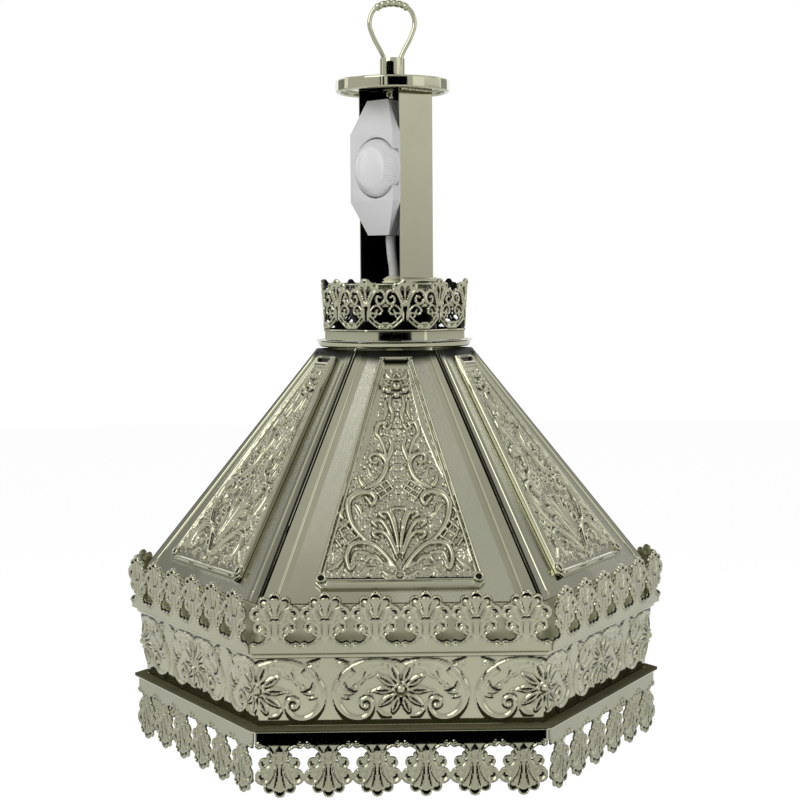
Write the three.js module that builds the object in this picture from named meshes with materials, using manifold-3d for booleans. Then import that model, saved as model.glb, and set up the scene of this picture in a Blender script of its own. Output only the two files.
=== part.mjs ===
// A hanging chanters' lantern: a six-sided pressed-metal shade with pierced galleries, a crown,
// a channel column that holds an inline rotary dimmer, and a wire loop that it hangs by.
// Millimetres, +Z up, the front side faces -Y. Heights are measured from the top of the lower
// flange, and the whole lantern is lowered at the end so that the hook point is the origin.
import * as THREE from 'three';
import { mergeVertices } from 'three/addons/utils/BufferGeometryUtils.js';
import Module from 'manifold-3d';

const wasm = await Module();
wasm.setup();

// Driving dimensions. A hexagon's size is its side, which is also its corner radius.
const GAP = 0.3;
const SHEET = 1;
const SIDES = 6;
const HALF_TURN = Math.PI / SIDES;
const ACROSS = Math.cos(HALF_TURN);

const LOWER_FLANGE = { side: 169, inner: 150, top: 0, thick: 2.2 };
const FRIEZE = { bottomSide: 160.6, topSide: 165, bottom: 0.3, top: 42.5 };
const ROSETTE = { radius: 14, notch: 8, rise: 1, petals: 10, bead: 3.4, beadRise: 2.4 };
const UPPER_FLANGE = { side: 169, inner: 150, bottom: 42.8, top: 44.4 };
const SKIRT = { side: 160.2, bottom: 44.7, top: 69.1 };
const ROOF = { side: 161, bottom: 70, top: 208.4, topSide: 50 };

const UPPER_GALLERY = { side: 170.6, bottom: 43.3, height: 35, band: 5.2, lean: THREE.MathUtils.degToRad(2.5) };
const LOWER_GALLERY = { side: 167, top: -2.5, height: 37.6, band: 7.7 };
const PALMETTES_PER_SIDE = 6;

const RELIEF = { bottom: 8, top: 162, bottomHalf: 48.3, topHalf: 10, corner: 3.2, thick: 2,
  rib: 1.3, ribInset: 0.2, ribPitch: 2.5, ribRise: 0.7,
  flower: 4.2, flowerUp: 141, flowerRise: 1.6, fanRise: 1.2 };
const FAN = [[-5, 16], [5, 16], [17, 38], [10, 54], [0, 58], [-10, 54], [-17, 38]];

// The main scrolls of the relief, as lines of [distance from the middle, height] that a rib follows: a
// panel's on its left half, and the frieze's from the line where two scrolls turn their backs on each other.
const SCROLL_RIB = { width: 2.4, rise: 1.1 };
const PANEL_SCROLLS = [
  [[10.4, 115.2], [12.6, 109], [9.2, 101], [6.8, 92]],
  [[16.1, 92.7], [9.6, 93.2], [7, 85], [11, 76], [18.9, 71.1]],
  [[15.9, 67.8], [24.6, 68.4], [29.6, 59], [26.3, 46.4], [16.2, 35.1]],
  [[28.6, 19.8], [30.2, 28], [25, 36], [15.2, 34.6], [8.5, 28.2]],
];
const FRIEZE_SCROLL = [[34, 36.6], [22, 37], [11.4, 31.6], [5.2, 22], [5.2, 11], [13, 4.2], [23, 8.4]];
const BOSS = { half: 44.8, up: 14, radius: 3.1, rise: 1.4, hole: 1.4 };
const SCREW = { radius: 1.05, sunk: 0.9, length: 7.5 };
const RIB = { bottom: 8.5, top: 6.5, width: 1.5, rise: 0.8, stop: 3 };

const CROWN_FLANGE = { radius: 49.7, bottom: 208.8, under: 209.6, top: 213.9, bore: 24, lip: 1.1 };
const CROWN = { corner: 47.6, facets: 8, palmettes: 12, bottom: 214.2, height: 39.8, band: 6.7 };
const CAP = { radius: 34, top: 249.3, plate: 1.4, foot: 214.2, footRadius: 33, neck: 26.5, bead: 28.6,
  beadHeight: 231, beadHalf: 5, skirt: 2.8, wall: 1.2, hole: 5.3 };

const COLUMN = { width: 37, depth: 30, setback: 3, wall: 0.9, bottom: 249.6, top: 371.7, turn: 47 };
const FOOT = { reach: 6, thick: 2.4, width: 31, lip: 1.2 };

const DISC = { radius: 36, top: 377.2, under: 372, rimBottom: 369.3, rimInner: 32, round: 0.8,
  seat: 8.6, seatDepth: 0.5, hole: 2.8 };
const SOCKET = { radius: 8, bottom: 377, top: 391, wall: 0.9, floor: 380.2, stud: 2.5, studEnd: 365.8 };
const WASHER = { radius: 6.5, bore: 2.8, top: 371.7, thick: 1.3 };
const NUT = { corner: 4.7, bore: 2.8, thick: 3.3 };
const WIRE = { radius: 1.5, wrap: 2.4, crest: 425.6 };
const HOOK_HEIGHT = 423.2;

const DIMMER = { bottom: 279.8, top: 364.3, taper: 21, inset: 9.8, fall: 5.8, width: 38.6, bodyWidth: 34.6,
  face: 7, lips: 0.3, seam: 7, back: 18.2, wall: 1.6 };
const DIAL = { radius: 18.6, offset: 4, middle: 321.5, rim: 4, dome: 8.2, sunk: 0.6, clearance: 0.5,
  shaft: 3, shaftLength: 9 };

const CORD = { radius: 3.1, sides: 8, outlet: -2.6, end: 201 };
const TUBE = { radius: 5, bore: 3.7, top: 249.3, bottom: 199.6, nut: 8.6, nutThick: 3.2 };
const GLAND = { radius: 7.4, waist: 6.2, bottom: 249.6, top: 254.1, bore: 3.4 };
const HOLDER = [[5.3, 203], [5.3, 200], [18, 188], [18, 150], [20, 150], [20, 190], [13, 203]];
const BULB = { radius: 30, middle: 108, sweep: THREE.MathUtils.degToRad(129.6), steps: 7,
  neck: [[16, 146], [14.2, 152], [13.2, 154], [13.2, 175], [5, 181], [0, 181]] };

const COLOURS = { nickel: 0xa3a38c, plastic: 0xd4d4d4, dial: 0xe6e6e6, cord: 0xcccccc,
  board: 0x3c6b3a, porcelain: 0xf0ede6, glass: 0xf7f4ea, screw: 0x26261c };

const lantern = new THREE.Group();

// Materials: each call gives a piece its own.
const nickel = () => new THREE.MeshStandardMaterial({ color: COLOURS.nickel, roughness: 0.22, metalness: 1 });
const dark = () => new THREE.MeshStandardMaterial({ color: COLOURS.screw, roughness: 0.45, metalness: 1 });
const plastic = (color) => new THREE.MeshStandardMaterial({ color, roughness: 0.35, metalness: 0 });

function add(name, geometry, material, parent = lantern) {
  const mesh = new THREE.Mesh(geometry, material);
  mesh.name = name;
  parent.add(mesh);
  return mesh;
}

// Solids: a closed geometry becomes a solid that can be joined and cut, and comes back as a geometry.
function solid(geometry) {
  const bare = geometry.clone();
  bare.deleteAttribute('normal');
  bare.deleteAttribute('uv');
  const merged = mergeVertices(bare, 1e-4);
  return new wasm.Manifold(new wasm.Mesh({
    numProp: 3,
    vertProperties: new Float32Array(merged.attributes.position.array),
    triVerts: new Uint32Array(merged.index.array),
  }));
}

function geometryOf(shape) {
  const mesh = shape.getMesh();
  const geometry = new THREE.BufferGeometry();
  geometry.setAttribute('position', new THREE.BufferAttribute(new Float32Array(mesh.vertProperties), 3));
  geometry.setIndex(new THREE.BufferAttribute(new Uint32Array(mesh.triVerts), 1));
  geometry.computeVertexNormals();
  return geometry;
}

const join = (...shapes) => shapes.reduce((whole, shape) => whole.add(shape));
const cut = (whole, ...tools) => tools.reduce((left, tool) => left.subtract(tool), whole);

// Flat plates: an outline in x and y, raised from z = low to z = high.
function plate(points, low, high, holes = []) {
  const shape = new THREE.Shape(points.map(([x, y]) => new THREE.Vector2(x, y)));
  for (const hole of holes) {
    shape.holes.push(new THREE.Path(hole.map(([x, y]) => new THREE.Vector2(x, y))));
  }
  const geometry = new THREE.ExtrudeGeometry(shape, { depth: high - low, bevelEnabled: false });
  return geometry.translate(0, 0, low);
}

const box = (x0, x1, y0, y1, z0, z1) =>
  new THREE.BoxGeometry(x1 - x0, y1 - y0, z1 - z0).translate((x0 + x1) / 2, (y0 + y1) / 2, (z0 + z1) / 2);

function circle(radius, sides, cx = 0, cy = 0, start = 0) {
  return Array.from({ length: sides }, (_, i) => {
    const angle = start + (i / sides) * 2 * Math.PI;
    return [cx + radius * Math.cos(angle), cy + radius * Math.sin(angle)];
  });
}

// A flat rib that follows a line of points, as wide on both sides of it.
function ribbon(points, width, low, high) {
  const offset = (sign) => points.map(([x, y], i) => {
    const [ax, ay] = points[Math.max(i - 1, 0)];
    const [bx, by] = points[Math.min(i + 1, points.length - 1)];
    const length = Math.hypot(bx - ax, by - ay);
    return [x - (sign * width * (by - ay)) / (2 * length), y + (sign * width * (bx - ax)) / (2 * length)];
  });
  const outline = [...offset(-1), ...offset(1).reverse()];
  return solid(plate(THREE.ShapeUtils.area(outline.map(([x, y]) => ({ x, y }))) > 0 ? outline
    : outline.reverse(), low, high));
}

const cylinder = (radius, low, high, sides = 20, cx = 0, cy = 0) =>
  plate(circle(radius, sides, cx, cy), low, high);

// Turned pieces: a closed profile of [radius, height] points, anticlockwise, spun about Z.
// With 6 segments the same call makes the hexagonal rings, whose corners lie on +X and -X.
function turned(profile, segments = 32) {
  const points = [...profile, profile[0]].map(([r, z]) => new THREE.Vector2(r, z));
  return new THREE.LatheGeometry(points, segments, Math.PI / 6).rotateX(Math.PI / 2);
}

const ring = (side, inner, low, high, segments = SIDES) =>
  turned([[inner, low], [side, low], [side, high], [inner, high]], segments);

// A tube along a smooth path, with a round section.
function tube(points, radius, sides, steps, tension = 0.5) {
  const route = points.map((p) => new THREE.Vector3(...p));
  const path = new THREE.CatmullRomCurve3(route, false, 'catmullrom', tension);
  const section = new THREE.Shape(circle(radius, sides).map(([x, y]) => new THREE.Vector2(x, y)));
  return new THREE.ExtrudeGeometry(section, { steps, extrudePath: path, bevelEnabled: false });
}

// One pitch of a gallery: half of the pierced keyhole, from the band up to the touching scrolls, and
// half of the palmette's outline, from that touching point up to its tip. Lengths are shares of the
// pitch and of the height above the band.
const KEYHOLE = [[0, 0.04], [0.3, 0.04], [0.355, 0.14], [0.11, 0.34], [0, 0.515]];
const PALMETTE = [[0.5, 0.645], [0.39, 0.735], [0.3, 0.76], [0.2, 0.92], [0, 1]];

function gallery(count, pitch, height, band, thick) {
  const rise = height - band;
  const half = (count * pitch) / 2;
  const keyhole = KEYHOLE.map(([u, v]) => [u * pitch, band + v * rise]);
  const inner = keyhole.slice(1, -1);
  const mirror = ([u, v]) => [-u, v];
  const outline = [[-half, 0], [half, 0]];
  keyhole.forEach(([u, v]) => outline.push([half - u, v]));
  for (let i = count - 1; i >= 0; i -= 1) {
    const centre = -half + (i + 0.5) * pitch;
    const right = PALMETTE.map(([u, v]) => [u * pitch, band + v * rise]);
    const left = right.slice(i === 0 ? 0 : 1, -1).reverse().map(mirror);
    [...right, ...left].forEach(([u, v]) => outline.push([centre + u, v]));
  }
  [...keyhole].reverse().forEach(([u, v]) => outline.push([-half + u, v]));
  const holes = [];
  for (let i = 1; i < count; i += 1) {
    const centre = -half + i * pitch;
    const loop = [keyhole[0], ...inner, keyhole.at(-1), ...[...inner].reverse().map(mirror)];
    holes.push(loop.map(([u, v]) => [centre + u, v]));
  }
  return plate(outline, 0, thick, holes);
}

// The six sides: a group for each, turned so that its own -Y faces outward. Side 1 is the front.
const sides = Array.from({ length: SIDES }, (_, k) => {
  const group = new THREE.Group();
  group.rotation.z = 2 * k * HALF_TURN;
  lantern.add(group);
  return group;
});

// Places flat work on a side: its x runs along the side, its y along `up`, its z along the normal.
function onSide(geometry, up, normal, position) {
  const frame = new THREE.Matrix4().makeBasis(new THREE.Vector3(1, 0, 0), up, normal);
  frame.setPosition(...position);
  return geometry.applyMatrix4(frame);
}

// Lower flange, frieze, upper flange and skirt: hexagonal rings, one standing on the other.
const lowerFlange = ring(LOWER_FLANGE.side, LOWER_FLANGE.inner, -LOWER_FLANGE.thick, LOWER_FLANGE.top);
const upperFlange = ring(UPPER_FLANGE.side, UPPER_FLANGE.inner, UPPER_FLANGE.bottom, UPPER_FLANGE.top);
add('lower_flange', lowerFlange, nickel());
add('upper_flange', upperFlange, nickel());
add('roof_skirt', ring(SKIRT.side, SKIRT.side - SHEET / ACROSS, SKIRT.bottom, SKIRT.top), nickel());

// A rosette's outline: petals and the notches between them.
function rosette(from, to, cx = 0) {
  const { radius, notch, petals } = ROSETTE;
  return Array.from({ length: to - from + 1 }, (_, i) => {
    const angle = ((from + i) / petals) * Math.PI + Math.PI / 2;
    const reach = (from + i) % 2 ? notch : radius;
    return [cx + reach * Math.cos(angle), reach * Math.sin(angle)];
  });
}

// One side's ornament, flat: a rosette in its middle, half ones just clear of its ends, and four scrolls.
function friezeOrnament(half) {
  const clear = 0.4;
  const { petals, rise, bead, beadRise } = ROSETTE;
  const middle = (FRIEZE.bottom + FRIEZE.top) / 2;
  const shapes = [
    solid(plate(rosette(0, 2 * petals - 1), -SHEET / 2, rise)),
    solid(plate(rosette(0, petals, half - clear), -SHEET / 2, rise)),
    solid(plate(rosette(petals, 2 * petals, clear - half), -SHEET / 2, rise)),
    solid(cylinder(bead, -SHEET / 2, beadRise, 8)),
  ];
  for (const turn of [-1, 1]) {
    for (const sign of [-1, 1]) {
      const line = FRIEZE_SCROLL.map(([x, y]) => [sign * (half / 2) + turn * x, y - middle]);
      shapes.push(ribbon(line, SCROLL_RIB.width, -SHEET / 2, SCROLL_RIB.rise));
    }
  }
  return join(...shapes);
}

// The frieze flares a little, and carries a rosette in the middle of each side and on each corner.
function frieze() {
  const wall = SHEET / ACROSS;
  const { bottomSide, topSide, bottom, top } = FRIEZE;
  const profile = [[bottomSide - wall, bottom], [bottomSide, bottom], [topSide, top], [topSide - wall, top]];
  let whole = solid(turned(profile, SIDES));
  const middle = (bottom + top) / 2;
  const side = (bottomSide + topSide) / 2;
  const flare = Math.atan(((topSide - bottomSide) * ACROSS) / (top - bottom));
  const ornament = geometryOf(friezeOrnament(side / 2)).rotateX(Math.PI / 2 - flare);
  ornament.translate(0, -side * ACROSS, middle);
  for (let k = 0; k < SIDES; k += 1) {
    whole = whole.add(solid(ornament.clone().rotateZ(2 * k * HALF_TURN)));
    const bead = cylinder(ROSETTE.bead, -2 * SHEET, ROSETTE.beadRise, 8).rotateX(Math.PI / 2 - flare);
    whole = whole.add(solid(bead.translate(0, -side, middle).rotateZ((2 * k + 1) * HALF_TURN)));
  }
  return geometryOf(whole.simplify(0.01));
}
add('frieze', frieze(), nickel());

// Galleries: a pierced strip of palmettes on each side, standing on the upper flange's edge and
// hanging from the lower one.
function sideGallery({ side, height, band }) {
  const length = 2 * (side * ACROSS - SHEET) * Math.tan(HALF_TURN) - GAP;
  return gallery(PALMETTES_PER_SIDE, length / PALMETTES_PER_SIDE, height, band, SHEET);
}

sides.forEach((group, k) => {
  const { lean } = UPPER_GALLERY;
  const standing = onSide(sideGallery(UPPER_GALLERY), new THREE.Vector3(0, -Math.sin(lean), Math.cos(lean)),
    new THREE.Vector3(0, -Math.cos(lean), -Math.sin(lean)),
    [0, SHEET - UPPER_GALLERY.side * ACROSS, UPPER_GALLERY.bottom]);
  add(`upper_gallery_${k + 1}`, standing, nickel(), group);
  const hanging = onSide(sideGallery(LOWER_GALLERY), new THREE.Vector3(0, 0, -1), new THREE.Vector3(0, 1, 0),
    [0, -LOWER_GALLERY.side * ACROSS, LOWER_GALLERY.top]);
  add(`lower_gallery_${k + 1}`, hanging, nickel(), group);
});

// The roof: six sloping panels with ribs along their hips, each carrying a pressed relief panel that
// two screws hold at its lower corners. Flat work on the slope has x along the side, y up the slope.
const ROOF_RISE = ROOF.top - ROOF.bottom;
const ROOF_RUN = (ROOF.side - ROOF.topSide) * ACROSS;
const SLOPE = Math.atan(ROOF_RUN / ROOF_RISE);
const SLOPE_LENGTH = Math.hypot(ROOF_RISE, ROOF_RUN);

function onSlope(geometry, lift = 0) {
  const up = new THREE.Vector3(0, Math.sin(SLOPE), Math.cos(SLOPE));
  const normal = new THREE.Vector3(0, -Math.cos(SLOPE), Math.sin(SLOPE));
  const start = normal.clone().multiplyScalar(lift).add(new THREE.Vector3(0, -ROOF.side * ACROSS, ROOF.bottom));
  return onSide(geometry, up, normal, start.toArray());
}

// The half width of the slope at a distance up it.
const slopeHalf = (up) => ROOF.side / 2 - (up / SLOPE_LENGTH) * ((ROOF.side - ROOF.topSide) / 2);

// A bar from one [half width, height] to another, drawn in by its width, on the side that sign says.
function bar([lowHalf, low], [highHalf, high], width, sign) {
  const outline = [[lowHalf - width, low], [lowHalf, low], [highHalf, high], [highHalf - width, high]];
  return sign > 0 ? outline : outline.reverse().map(([x, y]) => [-x, y]);
}

const screwHoles = (low, high, radius) => [-1, 1].map((sign) =>
  solid(cylinder(radius, low, high, 8, sign * BOSS.half, BOSS.up)));

function roofPanel() {
  const edge = 0.8;
  const [low, high] = [slopeHalf(0) - edge, slopeHalf(SLOPE_LENGTH) - edge];
  let panel = solid(plate([[-low, 0], [low, 0], [high, SLOPE_LENGTH], [-high, SLOPE_LENGTH]], -SHEET, 0));
  const ends = [RIB.stop, SLOPE_LENGTH - RIB.stop];
  for (const sign of [-1, 1]) {
    const foot = [slopeHalf(ends[0]) - RIB.bottom, ends[0]];
    const head = [slopeHalf(ends[1]) - RIB.top, ends[1]];
    panel = panel.add(solid(plate(bar(foot, head, RIB.width, sign), -SHEET / 2, RIB.rise)));
  }
  return geometryOf(cut(panel, ...screwHoles(-2 * SHEET, SHEET, BOSS.hole)));
}

function reliefPanel() {
  const { bottom, top, bottomHalf, topHalf, corner, thick, rib, ribInset, ribPitch, ribRise } = RELIEF;
  let panel = solid(plate([
    [-bottomHalf + corner, bottom], [bottomHalf - corner, bottom], [bottomHalf, bottom + corner],
    [topHalf, top], [-topHalf, top], [-bottomHalf, bottom + corner],
  ], 0, thick));
  const start = BOSS.up + BOSS.radius;
  const narrowing = (bottomHalf - topHalf) / (top - bottom - corner);
  const halfAt = (up) => bottomHalf - (up - bottom - corner) * narrowing;
  for (const sign of [-1, 1]) {
    for (const inset of [ribInset, ribInset + ribPitch]) {
      const outline = bar([halfAt(start) - inset, start], [halfAt(top - 1) - inset, top - 1], rib, sign);
      panel = panel.add(solid(plate(outline, thick / 2, thick + ribRise)));
    }
    panel = panel.add(solid(cylinder(BOSS.radius, 0, thick + BOSS.rise, 12, sign * BOSS.half, BOSS.up)));
  }
  const flower = solid(cylinder(RELIEF.flower, thick / 2, thick + RELIEF.flowerRise, 8, 0, RELIEF.flowerUp));
  const fan = solid(plate(FAN, thick / 2, thick + RELIEF.fanRise));
  const scrolls = [-1, 1].flatMap((sign) => PANEL_SCROLLS.map((line) =>
    ribbon(line.map(([x, y]) => [sign * x, y]), SCROLL_RIB.width, thick / 2, thick + SCROLL_RIB.rise)));
  return geometryOf(cut(join(panel, flower, fan, ...scrolls), ...screwHoles(-1, thick + 2 * BOSS.rise, BOSS.hole)));
}

sides.forEach((group, k) => {
  add(`roof_panel_${k + 1}`, onSlope(roofPanel()), nickel(), group);
  add(`relief_panel_${k + 1}`, onSlope(reliefPanel(), GAP), nickel(), group);
  ['left', 'right'].forEach((word, i) => {
    const head = RELIEF.thick + BOSS.rise - SCREW.sunk;
    const screw = cylinder(SCREW.radius, head - SCREW.length, head, 8, (2 * i - 1) * BOSS.half, BOSS.up);
    add(`panel_screw_${k + 1}_${word}`, onSlope(screw, GAP), dark(), group);
  });
});

// The crown: a stepped flange over the roof's top, a hollow cap that carries the column, and an
// eight-sided pierced gallery round it with twelve palmettes.
function crownFlange() {
  const { radius, bottom, under, top, bore, lip } = CROWN_FLANGE;
  return turned([
    [bore, under], [radius - 5, under], [radius - 3, bottom], [radius - lip, under], [radius, under + lip],
    [radius, top - lip], [radius - lip, top], [bore, top],
  ]);
}
add('crown_flange', crownFlange(), nickel());

function crownCap() {
  const { radius, top, plate: thick, foot, footRadius, neck, bead, beadHeight, beadHalf, wall } = CAP;
  const outside = [
    [footRadius, foot], [footRadius, foot + wall], [neck + wall, foot + 2 * wall],
    [neck, beadHeight - beadHalf], [bead, beadHeight], [neck, beadHeight + beadHalf],
    [neck + wall, top - thick - CAP.skirt], [radius, top - thick], [radius, top], [CAP.hole, top],
  ];
  const inside = [
    [CAP.hole, top - thick], [neck, top - thick - wall], [neck - wall, beadHeight + beadHalf],
    [bead - wall, beadHeight], [neck - wall, beadHeight - beadHalf], [neck, foot],
  ];
  return turned([...outside, ...inside]);
}
add('crown_cap', crownCap(), nickel());

function crownGallery() {
  const side = 2 * CROWN.corner * Math.sin(Math.PI / CROWN.facets);
  const pitch = (CROWN.facets * side) / CROWN.palmettes;
  const reach = CROWN.corner * Math.cos(Math.PI / CROWN.facets);
  const spare = 3;
  const flat = solid(gallery(CROWN.palmettes + spare, pitch, CROWN.height, CROWN.band, SHEET));
  const overlap = 0.3;
  let whole = null;
  for (let k = 0; k < CROWN.facets; k += 1) {
    // A palmette stands a sixth of a facet to the right of the front facet's middle, as on the real crown.
    const start = (k - CROWN.facets / 2) * side;
    const window = solid(box(start - overlap, start + side + overlap, -1, CROWN.height + 1, -1, 2 * SHEET));
    const facet = geometryOf(flat.intersect(window)).translate(-(start + side / 2), 0, 0);
    onSide(facet, new THREE.Vector3(0, 0, 1), new THREE.Vector3(0, -1, 0), [0, -reach + SHEET, CROWN.bottom]);
    const placed = solid(facet.rotateZ((2 * k * Math.PI) / CROWN.facets));
    whole = whole ? whole.add(placed) : placed;
  }
  return geometryOf(whole);
}
add('crown_gallery', crownGallery(), nickel());

// The column group: its own -Y is the direction in which the channel is open.
const column = new THREE.Group();
column.rotation.z = -THREE.MathUtils.degToRad(COLUMN.turn);
lantern.add(column);
const MOUTH = COLUMN.setback - COLUMN.depth / 2;
const BACK = COLUMN.setback + COLUMN.depth / 2;
const HALF_COLUMN = COLUMN.width / 2;

add('column', plate([
  [-HALF_COLUMN, MOUTH], [-HALF_COLUMN + COLUMN.wall, MOUTH], [-HALF_COLUMN + COLUMN.wall, BACK - COLUMN.wall],
  [HALF_COLUMN - COLUMN.wall, BACK - COLUMN.wall], [HALF_COLUMN - COLUMN.wall, MOUTH], [HALF_COLUMN, MOUTH],
  [HALF_COLUMN, BACK], [-HALF_COLUMN, BACK],
].reverse(), COLUMN.bottom, COLUMN.top), nickel(), column);

// The foot is a small tab outside the right wall, soldered to it and screwed to the cap's plate.
function columnFoot() {
  const start = HALF_COLUMN + GAP;
  const middle = COLUMN.setback;
  const tab = solid(box(start, start + FOOT.reach, middle - FOOT.width / 2, middle + FOOT.width / 2,
    CAP.top + GAP, CAP.top + GAP + FOOT.thick));
  const lip = solid(box(start, start + FOOT.lip, middle - FOOT.width / 2, middle + FOOT.width / 2,
    CAP.top + GAP, CAP.top + GAP + FOOT.thick + FOOT.lip));
  const round = solid(cylinder(CAP.radius - GAP, CAP.top, CAP.top + 4 * FOOT.thick, 32));
  return geometryOf(join(tab, lip).intersect(round));
}
add('column_foot', columnFoot(), nickel(), column);

// Top disc: a spun cap with a turned-down rim. The loop's socket stands in a shallow seat in its middle,
// and a nut holds the socket's stud below.
const { round } = DISC;
add('top_disc', turned([
  [DISC.hole, DISC.under], [DISC.rimInner, DISC.under],
  [DISC.rimInner + round, DISC.rimBottom + round], [DISC.rimInner + 2 * round, DISC.rimBottom],
  [DISC.radius - 2 * round, DISC.rimBottom], [DISC.radius - round / 2, DISC.rimBottom + 2 * round],
  [DISC.radius, DISC.rimBottom + 4 * round], [DISC.radius, DISC.top - round], [DISC.radius - round, DISC.top],
  [DISC.seat, DISC.top], [DISC.seat, DISC.top - DISC.seatDepth], [DISC.hole, DISC.top - DISC.seatDepth],
]), nickel());

const socketBore = SOCKET.radius - SOCKET.wall;
add('loop_socket', turned([
  [0, SOCKET.studEnd], [SOCKET.stud, SOCKET.studEnd], [SOCKET.stud, SOCKET.bottom],
  [SOCKET.radius, SOCKET.bottom], [SOCKET.radius, SOCKET.top], [socketBore, SOCKET.top],
  [socketBore, SOCKET.floor], [0, SOCKET.floor],
], 24), nickel());

add('stud_washer', ring(WASHER.radius, WASHER.bore, WASHER.top - WASHER.thick, WASHER.top, 20), nickel());
const nutTop = WASHER.top - WASHER.thick - GAP;
add('stud_nut', plate(circle(NUT.corner, 6), nutTop - NUT.thick, nutTop, [circle(NUT.bore, 12)]), nickel());

// Hanging loop: one wire bent to an upturned drop, its ends in the socket, wrapped along its crest.
const LOOP = [[5.2, 380.8], [5.2, 391], [7.4, 396], [11.6, 404], [14.2, 412.5], [12.4, 420], [7, 424.4]];
const CREST = [[9.4, 422.7], [5, 425.1]];

function hangingLoop() {
  const arch = (half) => [
    ...half.map(([x, z]) => [x, 0, z]), [0, 0, WIRE.crest],
    ...[...half].reverse().map(([x, z]) => [-x, 0, z]),
  ];
  const wire = solid(tube(arch(LOOP), WIRE.radius, 8, 30));
  const wrap = solid(tube(arch(CREST), WIRE.wrap, 8, 8));
  return geometryOf(join(wire, wrap));
}
add('hanging_loop', hangingLoop(), nickel());

// Dimmer: a two-part plastic case that stands in the channel, its wider front outside the lips, with
// tapered ends. Flat work here is drawn in x and height, and then stood up so that z runs to -Y.
const stand = (geometry) => geometry.rotateX(Math.PI / 2);
const FACE = MOUTH - DIMMER.face;
const LIPS = MOUTH - DIMMER.lips;
const SEAM = MOUTH + DIMMER.seam;
const DIMMER_BACK = FACE + DIMMER.face + DIMMER.back;

// The case's outline from the front, and the prism of its side view, whose front falls back at the ends.
function caseOutline(width, shrink = 0) {
  const half = width / 2 - shrink;
  const end = half - DIMMER.inset;
  const [low, high] = [DIMMER.bottom + shrink, DIMMER.top - shrink];
  return [
    [-end, low], [end, low], [half, low + DIMMER.taper - shrink], [half, high - DIMMER.taper + shrink],
    [end, high], [-end, high], [-half, high - DIMMER.taper + shrink], [-half, low + DIMMER.taper - shrink],
  ];
}

function frontWedge(shrink = 0) {
  const [low, high] = [DIMMER.bottom + shrink, DIMMER.top - shrink];
  const beyond = DIMMER.width;
  const outline = [
    [FACE + DIMMER.fall + shrink, low], [beyond, low], [beyond, high], [FACE + DIMMER.fall + shrink, high],
    [FACE + shrink, high - DIMMER.taper + shrink / 2], [FACE + shrink, low + DIMMER.taper - shrink / 2],
  ];
  return solid(plate(outline, -beyond, beyond).rotateX(Math.PI / 2).rotateZ(Math.PI / 2));
}

const slab = (width, front, back, shrink = 0) => solid(stand(plate(caseOutline(width, shrink), -back, -front)));
const dialBore = (radius, front, back) =>
  solid(stand(cylinder(radius, -back, -front, 32, DIAL.offset, DIAL.middle)));

function dimmerCover() {
  const { wall, width, bodyWidth } = DIMMER;
  const outside = join(slab(width, FACE, LIPS), slab(bodyWidth, LIPS - 1, SEAM)).intersect(frontWedge());
  const wellFloor = FACE + DIAL.rim + DIAL.sunk + DIAL.clearance;
  const hollow = slab(bodyWidth, wellFloor + wall, SEAM + 1, wall).intersect(frontWedge(wall));
  const well = dialBore(DIAL.radius + DIAL.clearance, FACE - 1, wellFloor);
  const shaft = dialBore(DIAL.shaft + DIAL.clearance, FACE, SEAM);
  const { bottom } = DIMMER;
  const outlet = solid(cylinder(CORD.radius + GAP, bottom - wall, bottom + 2 * wall, 16, 0, CORD.outlet));
  return geometryOf(cut(outside, hollow, well, shaft, outlet));
}

function dimmerBase() {
  const { wall, bodyWidth } = DIMMER;
  const outside = slab(bodyWidth, SEAM + GAP, DIMMER_BACK);
  const hollow = slab(bodyWidth, SEAM - 1, DIMMER_BACK - wall, wall);
  return geometryOf(cut(outside, hollow));
}

// The board carries the potentiometer, in whose bore the dial's shaft turns.
function dimmerBoard() {
  const half = DIMMER.bodyWidth / 2 - DIMMER.wall - 1.4;
  const [low, high] = [DIMMER.bottom + DIMMER.taper, DIMMER.top - DIMMER.taper];
  const card = solid(box(-half, half, SEAM - 1.8, SEAM - 0.4, low, high));
  const pot = dialBore(7.5, SEAM - 7, SEAM - 1);
  return geometryOf(cut(join(card, pot), dialBore(DIAL.shaft + GAP, FACE, DIMMER_BACK)));
}

function dimmerDial() {
  const { radius, rim, dome, shaft, shaftLength, offset, middle, sunk } = DIAL;
  const soft = 0.5;
  const profile = [
    [0, -shaftLength], [shaft, -shaftLength], [shaft, -rim],
    [radius - soft, -rim], [radius, -rim + soft], [radius, -soft],
  ];
  const steps = 4;
  for (let i = 1; i < steps; i += 1) {
    const angle = (i / steps) * (Math.PI / 2);
    profile.push([(radius - soft) * Math.cos(angle), dome * Math.sin(angle)]);
  }
  profile.push([0, dome]);
  return turned(profile, 36).rotateX(Math.PI / 2).translate(offset, FACE + sunk, middle);
}

add('dimmer_cover', dimmerCover(), plastic(COLOURS.plastic), column);
add('dimmer_base', dimmerBase(), plastic(COLOURS.plastic), column);
add('dimmer_board', dimmerBoard(), plastic(COLOURS.board), column);
add('dimmer_dial', dimmerDial(), plastic(COLOURS.dial), column);

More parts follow.
